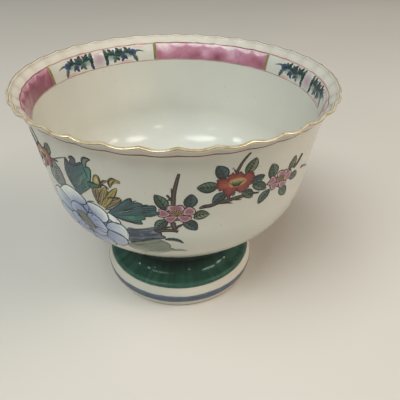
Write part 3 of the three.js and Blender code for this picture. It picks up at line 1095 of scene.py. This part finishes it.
def red_blossom(x, y, turn=0.0):
    """A frilled red blossom, orange on one side, with a broad fan of stamens."""
    centre = complex(x, y)
    placed = placing(x, y, turn)
    outline = frilled(placed(*RED_SILHOUETTE))
    glow = placed((-5.5, -0.5))[0]

    def fade_at(point, share):
        return 0.42 + 0.5 * smooth(0.6, 1, share) - 0.4 * near(point, (glow.real, glow.imag), 2.6, 2.2)

    paint("red_petals").patch(outline, centre, 0.08, fade_at=fade_at)
    paint(CRIMSON).stroke(outline + outline[:1], 0.42, 0.15)
    for fold in RED_FOLDS:
        paint(CRIMSON).stroke(curve(placed(*fold), 0.4), FINE_LINE, 0.17, pressure=tapered)
    shape(placed(*RED_STAMENS), centre + 0.4j, "stamen_yellow", None, 0.13,
          fade_at=lambda point, share: smooth(0.4, 1, share))
    for spread in evenly(6, -2.7, 3.1):
        low, high = (spread * 0.3 + 0.1, -1.4), (spread * 1.05, 1.5 - 0.16 * abs(spread))
        rib = placed(low, ((low[0] + high[0]) / 2 - 0.1, 0.1), high)
        paint(DARK).stroke(curve(rib, 0.4), 0.44, 0.225, pressure=pointed)


# The sprays, each drawn in flat millimetres from the front of the bowl and the foot of its wall

def front_spray():
    """The spray at the front: a pink blossom, a red one and a second pink one on one branch."""
    pink_blossom(-1, 9.7)
    leaves(((-5.2, 12.4), (-9, 20.2), 4.7, -0.05, 0.45), ((3.5, 13.2), (4.6, 20.4), 4.9, -0.04, 0.05),
           ((1.6, 6.1), (7.2, 0.7), 4.7, 0.06, 0.1), ((5.6, 7.7), (12, 9), 4.6, 0.12, 0.85),
           ((-4.9, 6.8), (-9.9, 0.7), 4.3, -0.06, 0.4))
    bough(1.7, (-2.3, 15.2), (-2, 20), (-0.9, 26), (0.1, 30.4))
    marks((0.6, (-2.7, 17.5), (-2.6, 20.5), (-2.8, 23.8)), (1, (-4.5, 20.2), (-3.8, 19), (-2.9, 18.2)),
          (0.9, (-4.3, 17.4), (-3.4, 17.7), (-2.8, 17.2)), (0.7, (-3.9, 19), (-3.6, 18.2), (-4, 17.4)))
    bough(1.9, (-2.6, 5.6), (-2.4, 3.5), (-1.4, 1.4), pressure=even)
    bough(1.3, (-10.2, 0.2), (-7, 0.9), (-4, 1.1), (-1.2, 0.9), pressure=even)
    marks((0.9, (-6.4, 2.1), (-4.6, 2.8), (-3, 3.1)), (1.3, (-1.8, 2.4), (0.2, 3.7), (1.8, 4.6)),
          (1, (-2.2, 0.6), (-1.2, 0.3), (-0.5, 1.3)))

    red_blossom(21.3, 23)
    leaves(((16.6, 26), (13.2, 32.9), 4.7, -0.05, 0), ((14.3, 22.9), (6.3, 23.3), 5.1, 0.02, 0.5, 5),
           ((25.1, 26.6), (28.1, 33.7), 4.6, -0.05, 0.85, 5), ((27.6, 21.8), (34, 23.2), 4.3, -0.04, 0.15),
           ((28.8, 20.3), (36.2, 15.2), 3.9, 0.05, 0.45, 4, 0.02),
           ((24.6, 18.2), (29.8, 13.1), 3.9, 0.06, 0.5),
           ((18, 19), (12.8, 14.1), 4.5, -0.08, 0.15), ((20.6, 19.4), (20.7, 16.6), 1.4, 0, 0.85, 1))
    bough(1.1, (20.8, 28), (22.4, 32.4), (24.9, 37))
    marks((0.5, (20.3, 28.2), (20, 29.6), (19.4, 30.4)))
    drawn([(18.8, 30), (19.7, 30.1), (19.7, 31.2), (18.9, 31.3)], (19.3, 30.7), "pink_petals", None, 0.05)
    bough(1, (19.3, 18.6), (19.1, 17), (18.8, 15.2), pressure=even)
    bough(1.5, (7.6, 12.6), (9.6, 13.3), (12.2, 13.5), (15.2, 14.6), (19, 14.8), (23, 15.4), (26, 15),
          pressure=even)
    marks((0.9, (9.2, 13.9), (10.2, 13.1), (11.6, 12.9), (12.4, 13.9)),
          (0.7, (14.6, 14), (18.4, 13.6), (21.2, 12.8)), (0.7, (20.3, 15), (22.4, 14.3), (24.8, 13.7)),
          (0.6, (27.2, 17.6), (30.2, 15.6), (33.4, 14.9)), (0.6, (26, 15.4), (29.6, 15.2), (33, 14.4)))

    pink_blossom(43.6, 16.6, -14)
    leaves(((38.9, 19.8), (36.3, 27.9), 4.8, -0.05, 0.5), ((38.4, 14.2), (33.8, 8), 4.8, -0.05, 0.4),
           ((45.2, 11.8), (51.2, 5.4), 4.4, 0.05, 0.5), ((50.4, 15.8), (57.2, 12.8), 4.3, 0.06, 0.25),
           ((48.8, 19.6), (50.4, 26.6), 4.6, -0.05, 0.8))
    bough(1.8, (51.6, 19.6), (54.4, 21.6), (56, 25), pressure=even)
    bough(1.1, (59.6, 16.2), (64.4, 14.6), (70.6, 11.4))
    marks((0.5, (33.4, 15.6), (36, 17.8), (37.6, 18.4)))


PEONY_CENTRE = complex(-43, -2.5)
# Each petal has an outline, a middle, and how far out from the heart it turns white
PEONY_PETALS = (
    (((-59.5, 5.5), (-55, 10.5), (-50, 13.2), (-45, 12.4), (-41.3, 9.8), (-41, 7), (-45, 5.2), (-50, 4.2),
      (-52.4, 0.8)), (-49, 8), 16),
    (((-40.2, 7.8), (-37.5, 9), (-33.2, 8), (-30.5, 5.2), (-30.2, 2.6), (-32.5, -0.2), (-36, 0.4), (-39, 4)),
     (-34.8, 4.6), 14),
    (((-30, 6.2), (-27, 4.9), (-24.7, 2.2), (-26, 1.2), (-28.6, 1.8), (-30.3, 3.4)), (-27.5, 3.2), 14),
    (((-32.6, -3.6), (-31.2, 0), (-27.6, 1.7), (-24.1, 0.9), (-22.1, -2), (-21.8, -5.4), (-22.7, -7.9),
      (-25, -6), (-28.6, -4.5)), (-26.6, -2), 22),
    (((-33, -4), (-28, -4.2), (-24.7, -5.8), (-23.4, -8.6), (-23.9, -11.3), (-26.4, -13.7), (-29.2, -15),
      (-32, -13), (-34, -9)), (-28.4, -9), 34),
    (((-33.4, -9), (-30.9, -13.6), (-32.8, -17.4), (-37.4, -19), (-42.6, -17.8), (-43.8, -13), (-40.6, -9)),
     (-37.6, -13.6), 27),
    (((-43, -9.4), (-43.2, -15), (-46.4, -19), (-51.2, -19.4), (-54.8, -15.8), (-54.2, -11), (-48.6, -8)),
     (-48.6, -13.6), 27),
    (((-52, -7), (-54.2, -12.4), (-58.6, -14.4), (-63.2, -11.6), (-64.5, -6.6), (-62, -1.8), (-56, -1.4)),
     (-58.4, -7.6), 32),
    (((-50.8, -1.8), (-55.6, -2.6), (-61, -1.6), (-65.2, 1.4), (-64.4, 5.4), (-59.6, 7.6), (-54.2, 5.4),
      (-51, 2.6)), (-57.6, 2.4), 26),
)
PEONY_INNER = (
    (((-52.6, 1.2), (-50, 4.6), (-46.2, 5.2), (-42.6, 3.4), (-42, 0.8), (-44.4, -1.2), (-48.4, -1.8),
      (-52, -1)), (-47, 1.8), 19),
    (((-42.4, 0.4), (-40, 2.4), (-36.8, 2.1), (-33.7, -0.4), (-32, -4.2), (-34.2, -7), (-38, -5), (-41, -2)),
     (-37, -1.6), 17),
    (((-32.8, -5), (-33.8, -8.7), (-37.2, -10.3), (-41.4, -9.5), (-43.2, -7), (-40, -5.4), (-36.4, -4.4)),
     (-37.6, -7.4), 21),
    (((-43, -7), (-44.6, -9.9), (-48.6, -10), (-52.5, -7.2), (-53.6, -3.6), (-50.4, -1.3), (-47.2, -3.8)),
     (-48.6, -6), 21),
)
PEONY_HEART = ((-48.6, 0.2), (-46, 1.1), (-43.6, 1.2), (-41, -1.6), (-38.8, -5), (-39.2, -6.2), (-42, -6.6),
               (-44.6, -6), (-46.6, -2.8))


def whitening(start, reach):
    """How white a petal is, from its root near the heart to where it has turned white."""
    return lambda point, share: held((abs(point - PEONY_CENTRE) - start) / (reach - start)) ** 0.85


def peony():
    """The big white and lavender peony on the left of the front."""
    ground = oval(PEONY_CENTRE, 15, 10.5, 60)
    paint("peony_petals").patch(ground, PEONY_CENTRE, 0, WASH, fade_at=evenly_faded(0.1))
    for ring, level, start in ((PEONY_PETALS, 0.04, 7), (PEONY_INNER, 0.13, 3)):
        for k, (outline, middle, reach) in enumerate(ring):
            fade_at = whitening(start, reach)
            drawn(outline, middle, "peony_petals", SLATE, level + 0.003 * k, fade_at=fade_at, line=0.54)
    drawn(PEONY_HEART, (-43.4, -2.7), "peony_heart", SLATE, 0.23, line=0.36)
    for degrees in range(20, 375, 24):
        spread = cmath.rect(1, math.radians(degrees))
        ray = [PEONY_CENTRE + spread * reach for reach in (5.0, 6.7, 8.4)]
        paint(SLATE).stroke(ray, 0.34, 0.225, 0.03, pressure=tapered)


def upper_teal_leaf():
    """The big teal leaf above the peony, slate blue towards its left."""
    outline = [(-44.2, 12.2), (-45.4, 14), (-46.9, 18), (-47.2, 22), (-46.4, 25), (-45.2, 28), (-44.9, 29.2),
               (-43.5, 27.3), (-42, 29), (-41.3, 30.5), (-39.8, 31), (-39.2, 30.2), (-39.4, 28.3),
               (-37.5, 29.3), (-36.3, 29.6), (-35.4, 28), (-34.6, 28.2), (-33.3, 28.2), (-33, 26.5),
               (-33.8, 23.5), (-34.8, 20.8), (-35.4, 18.2), (-38, 15.5), (-41, 13), (-42, 11.8), (-44, 11.8)]

    def fade_at(point, share):
        return (point.real + 46) / 11 - (point.imag - 20) / 40 - 0.5 * near(point, (-40.5, 27), 3.5, 1.6)

    drawn(outline, (-40.5, 21), "teal_leaves", DARK, fade_at=fade_at, line=HEAVY_LINE)
    tail = [(-35.8, 20.4), (-32.6, 21), (-30.6, 20.3), (-29.8, 19.9), (-31.6, 19.2), (-34.6, 17.9),
            (-36, 18.5)]
    drawn(tail, (-34, 19.5), "teal_leaves", DARK, 0.01, fade_at=evenly_faded(0.6), line=HEAVY_LINE)
    hatch((-44.6, 13.4), (-45, 23), (5.2, 5.4), 9, 0.6, DIM, ON_FILM, 3)
    hatch((-41, 13.6), (-40, 21.6), (4, 4.2), 7, 0.5, DIM, ON_FILM, 5)
    hatch((-43.6, 15.5), (-40, 20.5), (4.6, 4.8), 6, 0.3, "pale_scratches", ON_FILM, 7)
    hatch((-44.6, 26.6), (-40.6, 27.6), (3.4, 0.9), 4, 0.6, "purple_strokes", 0.09, 9)
    hatch((-46, 16), (-45.2, 26), (1.4, 2.2), 8, 0.9, DIM, ON_FILM, 11)
    curl = [(-35.4, 27.8), (-36, 30), (-35.6, 31.8), (-34.4, 32.8), (-32.6, 32.8), (-31.9, 32.4),
            (-33.2, 31.4), (-34.2, 30), (-34.5, 28.4)]
    drawn(curl, (-35.1, 30.2), "grey_leaves", DARK, 0.02, fade_at=evenly_faded(0.2), line=HEAVY_LINE)
    marks((0.6, (-43.6, 27.4), (-42.6, 26.6), (-39.4, 27.4), (-36, 29.4)), ink=DARK)
    marks((0.5, (-36.3, 27.5), (-35.5, 25), (-35.4, 22.4)), ink=DARK, level=0.11)
    marks((0.9, (-35.9, 30.4), (-35.2, 32), (-33.6, 32.8), (-32, 32.4)), ink=DARK, level=0.13)
    marks((1.2, (-42.4, 29.8), (-40.8, 31), (-39.2, 30.6)),
          (0.7, (-45.4, 27.6), (-44.4, 29.2), (-43.4, 27.2)),
          (0.9, (-36.2, 20.6), (-33.6, 20.9), (-30.6, 20.4)), ink=DARK, level=0.12)
    marks((0.5, (-44.8, 29.2), (-50, 26.8), (-56, 23.6)), level=0.04)


def lower_teal_leaf():
    """The jagged leaf to the right of the peony, bright teal in the middle."""
    outline = [(-30, 5.9), (-27, 9.3), (-23.5, 12.8), (-20.3, 15.9), (-18.3, 16.8), (-18, 14.6),
               (-15.9, 15.1), (-14.4, 14.6), (-13.2, 13.6), (-10, 14.2), (-8.9, 13), (-9.2, 11.5),
               (-7.9, 10.3), (-9, 9.4), (-11, 8.4), (-13.9, 7.8), (-13.6, 6.6), (-14.8, 6), (-15.9, 5.6),
               (-15.2, 3.7), (-17.5, 3.3), (-20, 3.6), (-24, 4.2), (-27, 5.2)]

    def fade_at(point, share):
        return 0.4 + 0.5 * near(point, (-19.5, 7), 5, 2.4) - 0.3 * near(point, (-25, 10), 4, 3)

    drawn(outline, (-17.5, 9), "teal_leaves", DARK, 0.02, fade_at=fade_at, line=HEAVY_LINE)
    hatch((-28, 6.6), (-21, 12.4), (6, 4.2), 9, 0.7, DIM, ON_LEAF, 13)
    hatch((-24, 8.4), (-17, 12.6), (6, 2.6), 8, 0.5, DARK, 0.11, 15)
    hatch((-15.6, 8.4), (-14.6, 13.4), (5.6, 0.8), 6, 0.5, DARK, ON_LEAF, 17)
    hatch((-26, 6.2), (-20, 8.4), (8, 1.4), 5, 0.6, DIM, ON_LEAF, 18)
    hatch((-19, 4.6), (-17.4, 9.6), (4, 1.2), 5, 0.5, DIM, ON_LEAF, 20)
    hatch((-25, 7.4), (-18, 11.6), (5, 2.4), 6, 0.26, "pale_scratches", 0.11, 19)
    marks((0.8, (-28.6, 6), (-24, 4.6), (-20, 4.2), (-15.6, 4.4)),
          (0.8, (-20.3, 15.6), (-18.6, 16.6), (-18.6, 13.6)), ink=DARK, level=0.12)
    drawn([(-31, 7.6), (-27.6, 10.4), (-23.2, 14.4), (-22.2, 15.4), (-24, 12.4), (-27.4, 9)], (-26.6, 11),
          "pale_leaves", DARK, 0.01, line=FINE_LINE)


def slate_leaf():
    """The slate-blue leaf under the lower teal one, with a tendril."""
    outline = [(-22, -0.3), (-18, 0.3), (-14, 1.2), (-10.5, 2.3), (-10.2, 0.6), (-7.6, -0.2), (-7.8, -1.6),
               (-6.2, -2.6), (-6.2, -3.4), (-9, -3.9), (-12, -4.6), (-15, -6.3), (-19, -8), (-22, -8.8)]

    def fade_at(point, share):
        return 0.5 + 0.5 * near(point, (-12, 0), 3.5, 1.6) - 0.5 * near(point, (-18, -2.4), 4, 1.6)

    drawn(outline, (-15, -2.4), "slate_leaves", SLATE, 0.02, fade_at=fade_at, line=0.45)
    hatch((-22, -1), (-21.4, -7.6), (8, 1.8), 10, 0.8, SLATE, ON_LEAF, 21)
    hatch((-16, 0.2), (-15, -5), (8, 1.4), 8, 0.7, SLATE, ON_LEAF, 23)
    marks((1, (-22, -8.7), (-18, -7.4), (-14, -5.6), (-10, -4.1), (-6.4, -3.8)),
          (0.8, (-10.4, 1.6), (-10.2, 0.3), (-7.8, -0.5), (-7.6, -1.9), (-6.1, -3)), ink=DARK, level=0.12)
    tendril = [(-6.2, -4.3), (-3.2, -4.2), (-0.6, -5), (1.6, -7)]
    marks((2.1, *tendril), ink=DIM, level=0.02)
    marks((1, *tendril), ink=DARK, level=0.07)


def olive_leaf():
    """The pale olive leaf that runs down on to the underside of the bowl."""
    outline = [(-22.5, -9.6), (-18, -8.3), (-13, -5.5), (-9, -4.3), (-7, -5.2), (-5.5, -6.3), (-4, -8.5),
               (-4.5, -9.8), (-3.5, -11), (-2.4, -12), (-4, -13.2), (-6.4, -14.6), (-9.4, -17), (-14, -18.6),
               (-20, -17.4), (-24, -13.6)]

    def fade_at(point, share):
        ground = 0.5 + 0.4 * near(point, (-18, -10), 6, 2) + 0.3 * near(point, (-9, -12), 5, 4)
        return ground * smooth(-18.5, -13, point.imag)

    drawn(outline, (-11, -12), "pale_leaves", None, fade_at=fade_at)
    edge = [(-9.4, -4.6), (-5.6, -6.6), (-4.1, -8.8), (-4.6, -10), (-2.6, -11.9), (-4.2, -13.2), (-7, -15)]
    marks((0.6, *edge), ink=GREY, level=0.07)
    hatch((-21, -11), (-10, -6.4), (4.6, 1.4), 9, 0.6, GREY, 0.08, 25)
    hatch((-18, -17), (-9, -13), (4.4, 2.4), 8, 0.55, GREY, 0.08, 27)
    marks((1.9, (-4.6, -12.6), (-1.4, -12.4), (1.4, -12.8), (3.4, -13.8)), ink="pale_leaves", level=0.02)
    marks((0.9, (-3.4, -12.8), (-0.6, -12.9), (2, -13.6)), ink=GREY, level=0.06)


def yellow_blade(base, tip, width, tone, level, lines=1):
    """A narrow blade of the yellow cluster with lines along it."""
    _, left, right = blade(base, tip, width, 0, 0.5, lambda t: math.sin(math.pi * (0.16 + 0.84 * t)) ** 0.55)
    paint("ochre_leaves").between(left, right, level, tone, (0.8, 0.4, 0.3, 0.4, 0.9))
    for k in range(lines + 2):
        share = k / (lines + 1)
        edge = share in (0, 1)
        inset = 0 if edge else 1 + k % 2
        line = [a + (b - a) * share for a, b in zip(left, right)][inset:len(left) - 2 * inset]
        stroke_width, rise = (0.42, 0.06) if edge else (0.3, ON_FILM)
        paint(OLIVE).stroke(line, stroke_width, level + rise, pressure=pointed)


def yellow_cluster():
    """Slim yellow and brown blades between the two teal leaves, over a brown wash."""
    fan = [(-33.6, 9.8), (-34.8, 13), (-34.8, 18), (-32.2, 18.8), (-28.6, 19.4), (-26.8, 18), (-27.2, 14.6),
           (-29.2, 11.2), (-31.4, 9.2)]
    drawn(fan, (-31.4, 14), "ochre_leaves", None, tone=0.4, fade_at=evenly_faded(0.3))
    yellow_blade((-33.1, 9.8), (-34.7, 18.6), 1.9, 0.1, 0.02)
    yellow_blade((-32.8, 9.4), (-32.4, 19), 2.0, 0.2, 0.04)
    yellow_blade((-32.2, 9), (-28, 20.4), 3.8, 0.5, 0.06, lines=3)
    yellow_blade((-31.2, 9.4), (-23.3, 21.1), 3.0, 0.8, 0.08)
    yellow_blade((-31, 8.8), (-22.4, 15.8), 2.2, 0.3, 0.03)
    bud = [(-33.2, 20.8), (-32.9, 23), (-31.8, 25.2), (-30.4, 25.5), (-29.8, 24), (-30.2, 21.4),
           (-31.4, 20.4)]
    drawn(bud, (-31.4, 22.8), "ochre_leaves", OLIVE, 0.03, tone=1.0, line=FINE_LINE)
    hook = [(-25.8, 20.6), (-26.2, 22.6), (-25.2, 24.8), (-23.4, 25.4), (-21.5, 25), (-21.5, 23.6),
            (-23.4, 23.4), (-24.8, 22.2)]
    drawn(hook, (-24.9, 23.4), "ochre_leaves", None, 0.03, tone=0.85)
    marks((1.5, (-30.4, 20.6), (-28.9, 22.6), (-26.4, 23.9)), ink="ochre_leaves", level=0.02)
    marks((0.6, (-30.2, 21.2), (-28.4, 23.3), (-26.4, 24)), ink=OLIVE)
    marks((0.7, (-29.9, 20.2), (-30, 22.4), (-30.2, 24.6)),
          (0.8, (-26, 20.6), (-26.3, 23), (-25.5, 24.9), (-24, 25.7), (-22.8, 25.2)),
          (0.6, (-25.4, 21.8), (-24.6, 23.4), (-23.2, 24.8)), ink=OLIVE, level=0.14)
    marks((0.7, (-30, 20.6), (-28.8, 21.2), (-27.6, 20.6), (-26.8, 19.4)), ink=OLIVE, level=0.16)
    marks((0.9, (-28.6, 14.4), (-26.6, 15.5), (-22.6, 16.2)), level=0.16)
    marks((0.5, (-40, 8.6), (-37.6, 9.8), (-35.4, 10.2)), level=0.06)


def left_spray():
    """The spray beyond the peony, which turns round to the back of the bowl."""
    red_blossom(-63, 22.8, 12)
    leaf((-57.6, 25.6), (-53.8, 32), 4.2, 0.05, 0.55)
    outline = [(-55.5, 24.5), (-52, 21.6), (-50.8, 17), (-51.5, 13), (-54, 11.5), (-58, 10), (-62, 12.4),
               (-61, 17), (-58, 21)]
    drawn(outline, (-56, 16.6), "grey_leaves", DARK, line=HEAVY_LINE,
          fade_at=lambda point, share: (point.real + 62) / 11)
    hatch((-60, 12), (-56, 20.6), (5, 1), 7, 0.5, DARK, ON_FILM, 31)
    marks((1.2, (-56.6, 23.2), (-53.4, 24.6), (-50.6, 24.8)), ink=DARK)
    leaves(((-69, 25), (-74.6, 31), 4.6, 0.05, 0.2), ((-69.4, 19.6), (-76.4, 15), 4.6, -0.05, 0.5))
    bough(1.2, (-64.2, 28), (-66.2, 33), (-68.4, 37))
    bough(1.1, (-69, 13.6), (-74, 12), (-80, 12.4), (-86, 10.4), pressure=even)
    marks((0.7, (-66.4, 17.4), (-68.4, 14.8), (-70.6, 13)))
    pink_blossom(-88.5, 17.6, mirrored=True)
    leaves(((-84, 20.8), (-80.6, 27.4), 4.5, 0.05, 0.15), ((-93, 20.6), (-97.4, 27), 4.6, -0.05, 0.5),
           ((-84.4, 13.8), (-78.4, 8.6), 4.2, -0.05, 0.45), ((-93.4, 14), (-99.4, 10), 4.5, 0.06, 0.7),
           ((-89, 12), (-90.4, 5), 4.2, 0.05, 0.2))
    bough(1.1, (-95, 17), (-100, 19), (-106, 24))


def back_spray():
    """The spray on the back, between the ends of the front ones."""
    red_blossom(168, 16.4, 8)
    pink_blossom(190, 24.4, -10)
    pink_blossom(146, 8.6, mirrored=True)
    bough(1.2, (197, 19), (190, 16.6), (182, 14.6), (174, 10), pressure=even)
    bough(1.2, (162, 11), (156, 6.6), (150, 3.6), (140, 1.4), pressure=even)
    bough(1.3, (168, 22), (166.4, 28), (163, 34))
    bough(1.2, (196, 26), (202, 29), (206, 34))
    bough(1.1, (139, 10), (134, 13.6), (130.6, 19))
    leaves(((163, 20), (158, 26.4), 4.6, -0.05, 0.1), ((173, 20), (178, 26), 4.6, 0.05, 0.55),
           ((161, 14.4), (153.4, 16.4), 4.6, 0.04, 0.5), ((175, 13), (181, 8), 4.5, 0.06, 0.2),
           ((166, 11), (163, 3.6), 4.6, -0.05, 0.75), ((184, 26.4), (178.6, 32), 4.4, -0.05, 0.45),
           ((194.6, 28.6), (196, 35.6), 4.4, 0.04, 0.15), ((196.4, 22.6), (203, 20), 4.4, 0.05, 0.6),
           ((186.6, 20), (184, 13.4), 4.2, -0.05, 0.5), ((141, 12), (137, 18.6), 4.4, -0.05, 0.2),
           ((150, 12.6), (154, 18.4), 4.2, 0.05, 0.6), ((139.6, 6.6), (132.4, 4.8), 4.4, 0.05, 0.5),
           ((146, 3.6), (149.4, -3), 4.4, 0.05, 0.15), ((131, 19), (127.4, 25), 4.0, -0.05, 0.7))


# The material and slot of each paint, the colours that it runs through, and what else is special to it
ENAMELS = {
    "painted_leaves": ("leaf_green", "green_glaze",
                       ((0, "40595e"), (0.25, "466862"), (0.5, "56725d"), (0.75, "7c8c6a"), (1, "94926e")),
                       {"wash": 0.3, "dark": "384a40", "by": "tone", "shade": "8d9a90"}),
    "teal_leaves": ("leaf_teal", "green_glaze",
                    ((0, "394e5f"), (0.4, "345a63"), (0.7, "386a62"), (1, "478273")),
                    {"wash": 0.4, "grain": 300, "dark": "304744"}),
    "grey_leaves": ("leaf_grey", "green_glaze", ((0, "647d70"), (0.6, "6b7470"), (1, "79727b")),
                    {"wash": 0.5, "grain": 250, "dark": "49524f"}),
    "slate_leaves": ("leaf_slate", "blue_enamel", ((0, "4b535d"), (0.5, "646b77"), (1, "828796")),
                     {"wash": 0.6, "grain": 260, "dark": "40464f"}),
    "pale_leaves": ("leaf_olive", "green_glaze", ((0, "bdbcab"), (0.5, "80877a"), (1, "636f5f")),
                    {"wash": 0.3, "grain": 200, "dark": "686f55"}),
    "ochre_leaves": ("leaf_ochre", "divider_gilding",
                     ((0, "8a7957"), (0.4, "a89566"), (0.8, "b5a65a"), (1, "c2bd7c")),
                     {"wash": 0.3, "grain": 300, "dark": "6c5b3a", "by": "tone", "shade": "a89a84"}),
    "peony_petals": ("petal_white", "blue_enamel",
                     ((0, "7781a6"), (0.35, "98a2bf"), (0.65, "c0c8cf"), (1, "e6e9e1")),
                     {"wash": 0.3, "grain": 160, "dark": "8a93a2"}),
    "peony_heart": ("heart_olive", "green_glaze", ((0, "586e5b"), (1, "7a6c5d")),
                    {"wash": 1.0, "grain": 260}),
    "pink_petals": ("petal_pink", "pink_enamel",
                    ((0, "844f5f"), (0.4, "9f6977"), (0.75, "c29da2"), (1, "e0d0cb")),
                    {"wash": 0.25, "grain": 500, "dark": "835663"}),
    "red_petals": ("petal_red", "red_enamel", ((0, "ab573a"), (0.4, "8f3c33"), (1, "6f2a27")),
                   {"grain": 300, "dark": "702d27"}),
    "stamen_yellow": ("stamens", "divider_gilding", ((0, "a59a5e"), (0.6, "ae8b55"), (1, "a05e40")),
                      {"wash": 0.3, "grain": 500, "dark": "8a6a34"}),
    "twig_brown": ("twig", "slip", ((0, "594c44"), (1, "473d38")),
                   {"wash": 0.6, "grain": 500, "dark": "4c403a"}),
    DARK: ("ink_dark", "green_glaze", ((0, "161c18"), (1, "26312b")), {}),
    DIM: ("ink_dim", "green_glaze", ((0, "2c4040"), (1, "3b5654")), {}),
    BROWN: ("ink_brown", "iron_red_enamel", ((0, "2b201c"), (1, "3e312a")), {}),
    OLIVE: ("ink_olive", "divider_gilding", ((0, "2a2319"), (1, "403626")), {}),
    SLATE: ("ink_slate", "blue_enamel", ((0, "303a45"), (1, "46525d")), {}),
    GREY: ("ink_grey", "green_glaze", ((0, "565d4c"), (1, "70765f")), {}),
    MAGENTA: ("ink_magenta", "pink_enamel", ((0, "3a2027"), (1, "512d36")), {}),
    CRIMSON: ("ink_crimson", "iron_red_enamel", ((0, "461918"), (1, "5e2522")), {}),
    "purple_strokes": ("ink_purple", "blue_enamel", ((0, "413e49"), (1, "565060")), {}),
    "pale_scratches": ("ink_pale", "green_glaze", ((0, "6f8c88"), (1, "869d97")), {}),
}


def paint_sprays():
    for draw in (front_spray, peony, upper_teal_leaf, lower_teal_leaf, slate_leaf, olive_leaf,
                 yellow_cluster, left_spray, back_spray):
        draw()
    for name, film in paints.items():
        material, slot, stops, special = ENAMELS[name]
        film.build(enamel(material, *stops, **special), slot)


# The stage

def make_floor():
    bpy.ops.mesh.primitive_grid_add(x_subdivisions=2, y_subdivisions=2, size=6)
    floor = bpy.context.object
    floor.name = "floor"
    s = Shade("pale_floor")
    base = s.ramp(s.noise(3, 2), (0.3, "c9c2b8"), (0.7, "cec7be"))
    floor.data.materials.append(s.finish(base, 0.55))


AIM = Vector((0, 0, 0.07))  # the middle of the bowl, in metres
NEAR_LAMP = 1.5
FAR_LAMP = 1.8
GLOSSY_SHARE = 0.5  # how strongly the studio shows in the glaze and gold


def lamp(name, direction, distance, size, power, tint, roll=0.0, mirrored=True):
    """An area lamp that looks at the bowl. Its roll, in degrees, turns its long side away from level.

    The small lamps are mirrored in the glaze as round-ended lights. The large ones only light the bowl.
    """
    data = bpy.data.lights.new(name, "AREA")
    data.shape = "ELLIPSE" if mirrored else "RECTANGLE"
    data.size, data.size_y = size
    data.energy = power
    data.color = tint
    light = bpy.data.objects.new(name, data)
    light.visible_glossy = mirrored
    light.location = AIM + Vector(direction).normalized() * distance
    light.rotation_mode = "QUATERNION"
    spin = Quaternion((0, 0, 1), math.radians(roll))
    light.rotation_quaternion = (AIM - light.location).to_track_quat("-Z", "Y") @ spin
    bpy.context.scene.collection.objects.link(light)


def make_light():
    lamp("left_softbox", (-0.35, -0.46, 0.81), NEAR_LAMP, (0.74, 0.28), 3.4, (0.95, 1, 1), 26)
    lamp("right_softbox", (0.61, -0.385, 0.69), NEAR_LAMP, (0.52, 0.27), 2.4, (1, 1, 0.93), -37)
    lamp("left_small", (-0.81, -0.19, 0.55), NEAR_LAMP, (0.25, 0.2), 1.2, (0.9, 1, 0.8), 55)
    lamp("right_small", (0.87, -0.15, 0.45), NEAR_LAMP, (0.28, 0.2), 1.4, (1, 0.9, 0.8), -49)
    lamp("front_left", (-0.575, -0.652, 0.494), NEAR_LAMP, (0.2, 0.14), 0.35, (0.8, 0.95, 1))
    lamp("front_right", (0.336, -0.793, 0.508), NEAR_LAMP, (0.2, 0.14), 0.4, (0.95, 1, 0.6))
    lamp("large_left", (-0.3, -0.4, 1), FAR_LAMP, (1.2, 1.2), 29.5, (0.87, 0.96, 1), mirrored=False)
    lamp("large_right", (1, -0.1, 0.7), FAR_LAMP, (1, 1), 15, (1, 0.84, 0.69), mirrored=False)


def make_world():
    """A pale studio that shows behind the bowl and in its glaze and gold, and adds no light of its own."""
    world = bpy.data.worlds.new("studio")
    world.use_nodes = True
    nodes, links = world.node_tree.nodes, world.node_tree.links
    path = nodes.new("ShaderNodeLightPath")
    glossy = nodes.new("ShaderNodeMath")
    glossy.operation = "MULTIPLY_ADD"
    glossy.inputs[1].default_value = GLOSSY_SHARE
    links.new(path.outputs["Is Glossy Ray"], glossy.inputs[0])
    links.new(path.outputs["Is Camera Ray"], glossy.inputs[2])
    background = nodes["Background"]
    background.inputs["Color"].default_value = colour("efede8")
    links.new(glossy.outputs["Value"], background.inputs["Strength"])
    bpy.context.scene.world = world
    bpy.context.scene.view_settings.view_transform = "Standard"


# The camera stands where the photograph was taken: its place in millimetres and its turns in degrees
CAMERA_PLACE = (0, -196.11, 181.17)
CAMERA_HEADING = 3.509
CAMERA_PITCH = 35.19
CAMERA_ROLL = 0.943
CAMERA_LENS = 37.44
CAMERA_SENSOR = 36


def make_camera():
    data = bpy.data.cameras.new("camera")
    data.sensor_width = CAMERA_SENSOR
    data.lens = CAMERA_LENS
    data.clip_start, data.clip_end = 0.01, 20
    data.dof.use_dof = False
    camera = bpy.data.objects.new("camera", data)
    camera.matrix_world = Matrix.Translation(Vector(CAMERA_PLACE) * MM)
    for turn, axis in ((-CAMERA_HEADING, "Z"), (90 - CAMERA_PITCH, "X"), (CAMERA_ROLL, "Z")):
        camera.matrix_world @= Matrix.Rotation(math.radians(turn), 4, axis)
    bpy.context.scene.collection.objects.link(camera)
    bpy.context.scene.camera = camera


make_camera()
make_bowl()
make_foot()
make_slip()
make_rim_lines()
make_dividers()
make_pink_panels()
make_white_panels()
paint_sprays()
make_floor()
make_world()
make_light()
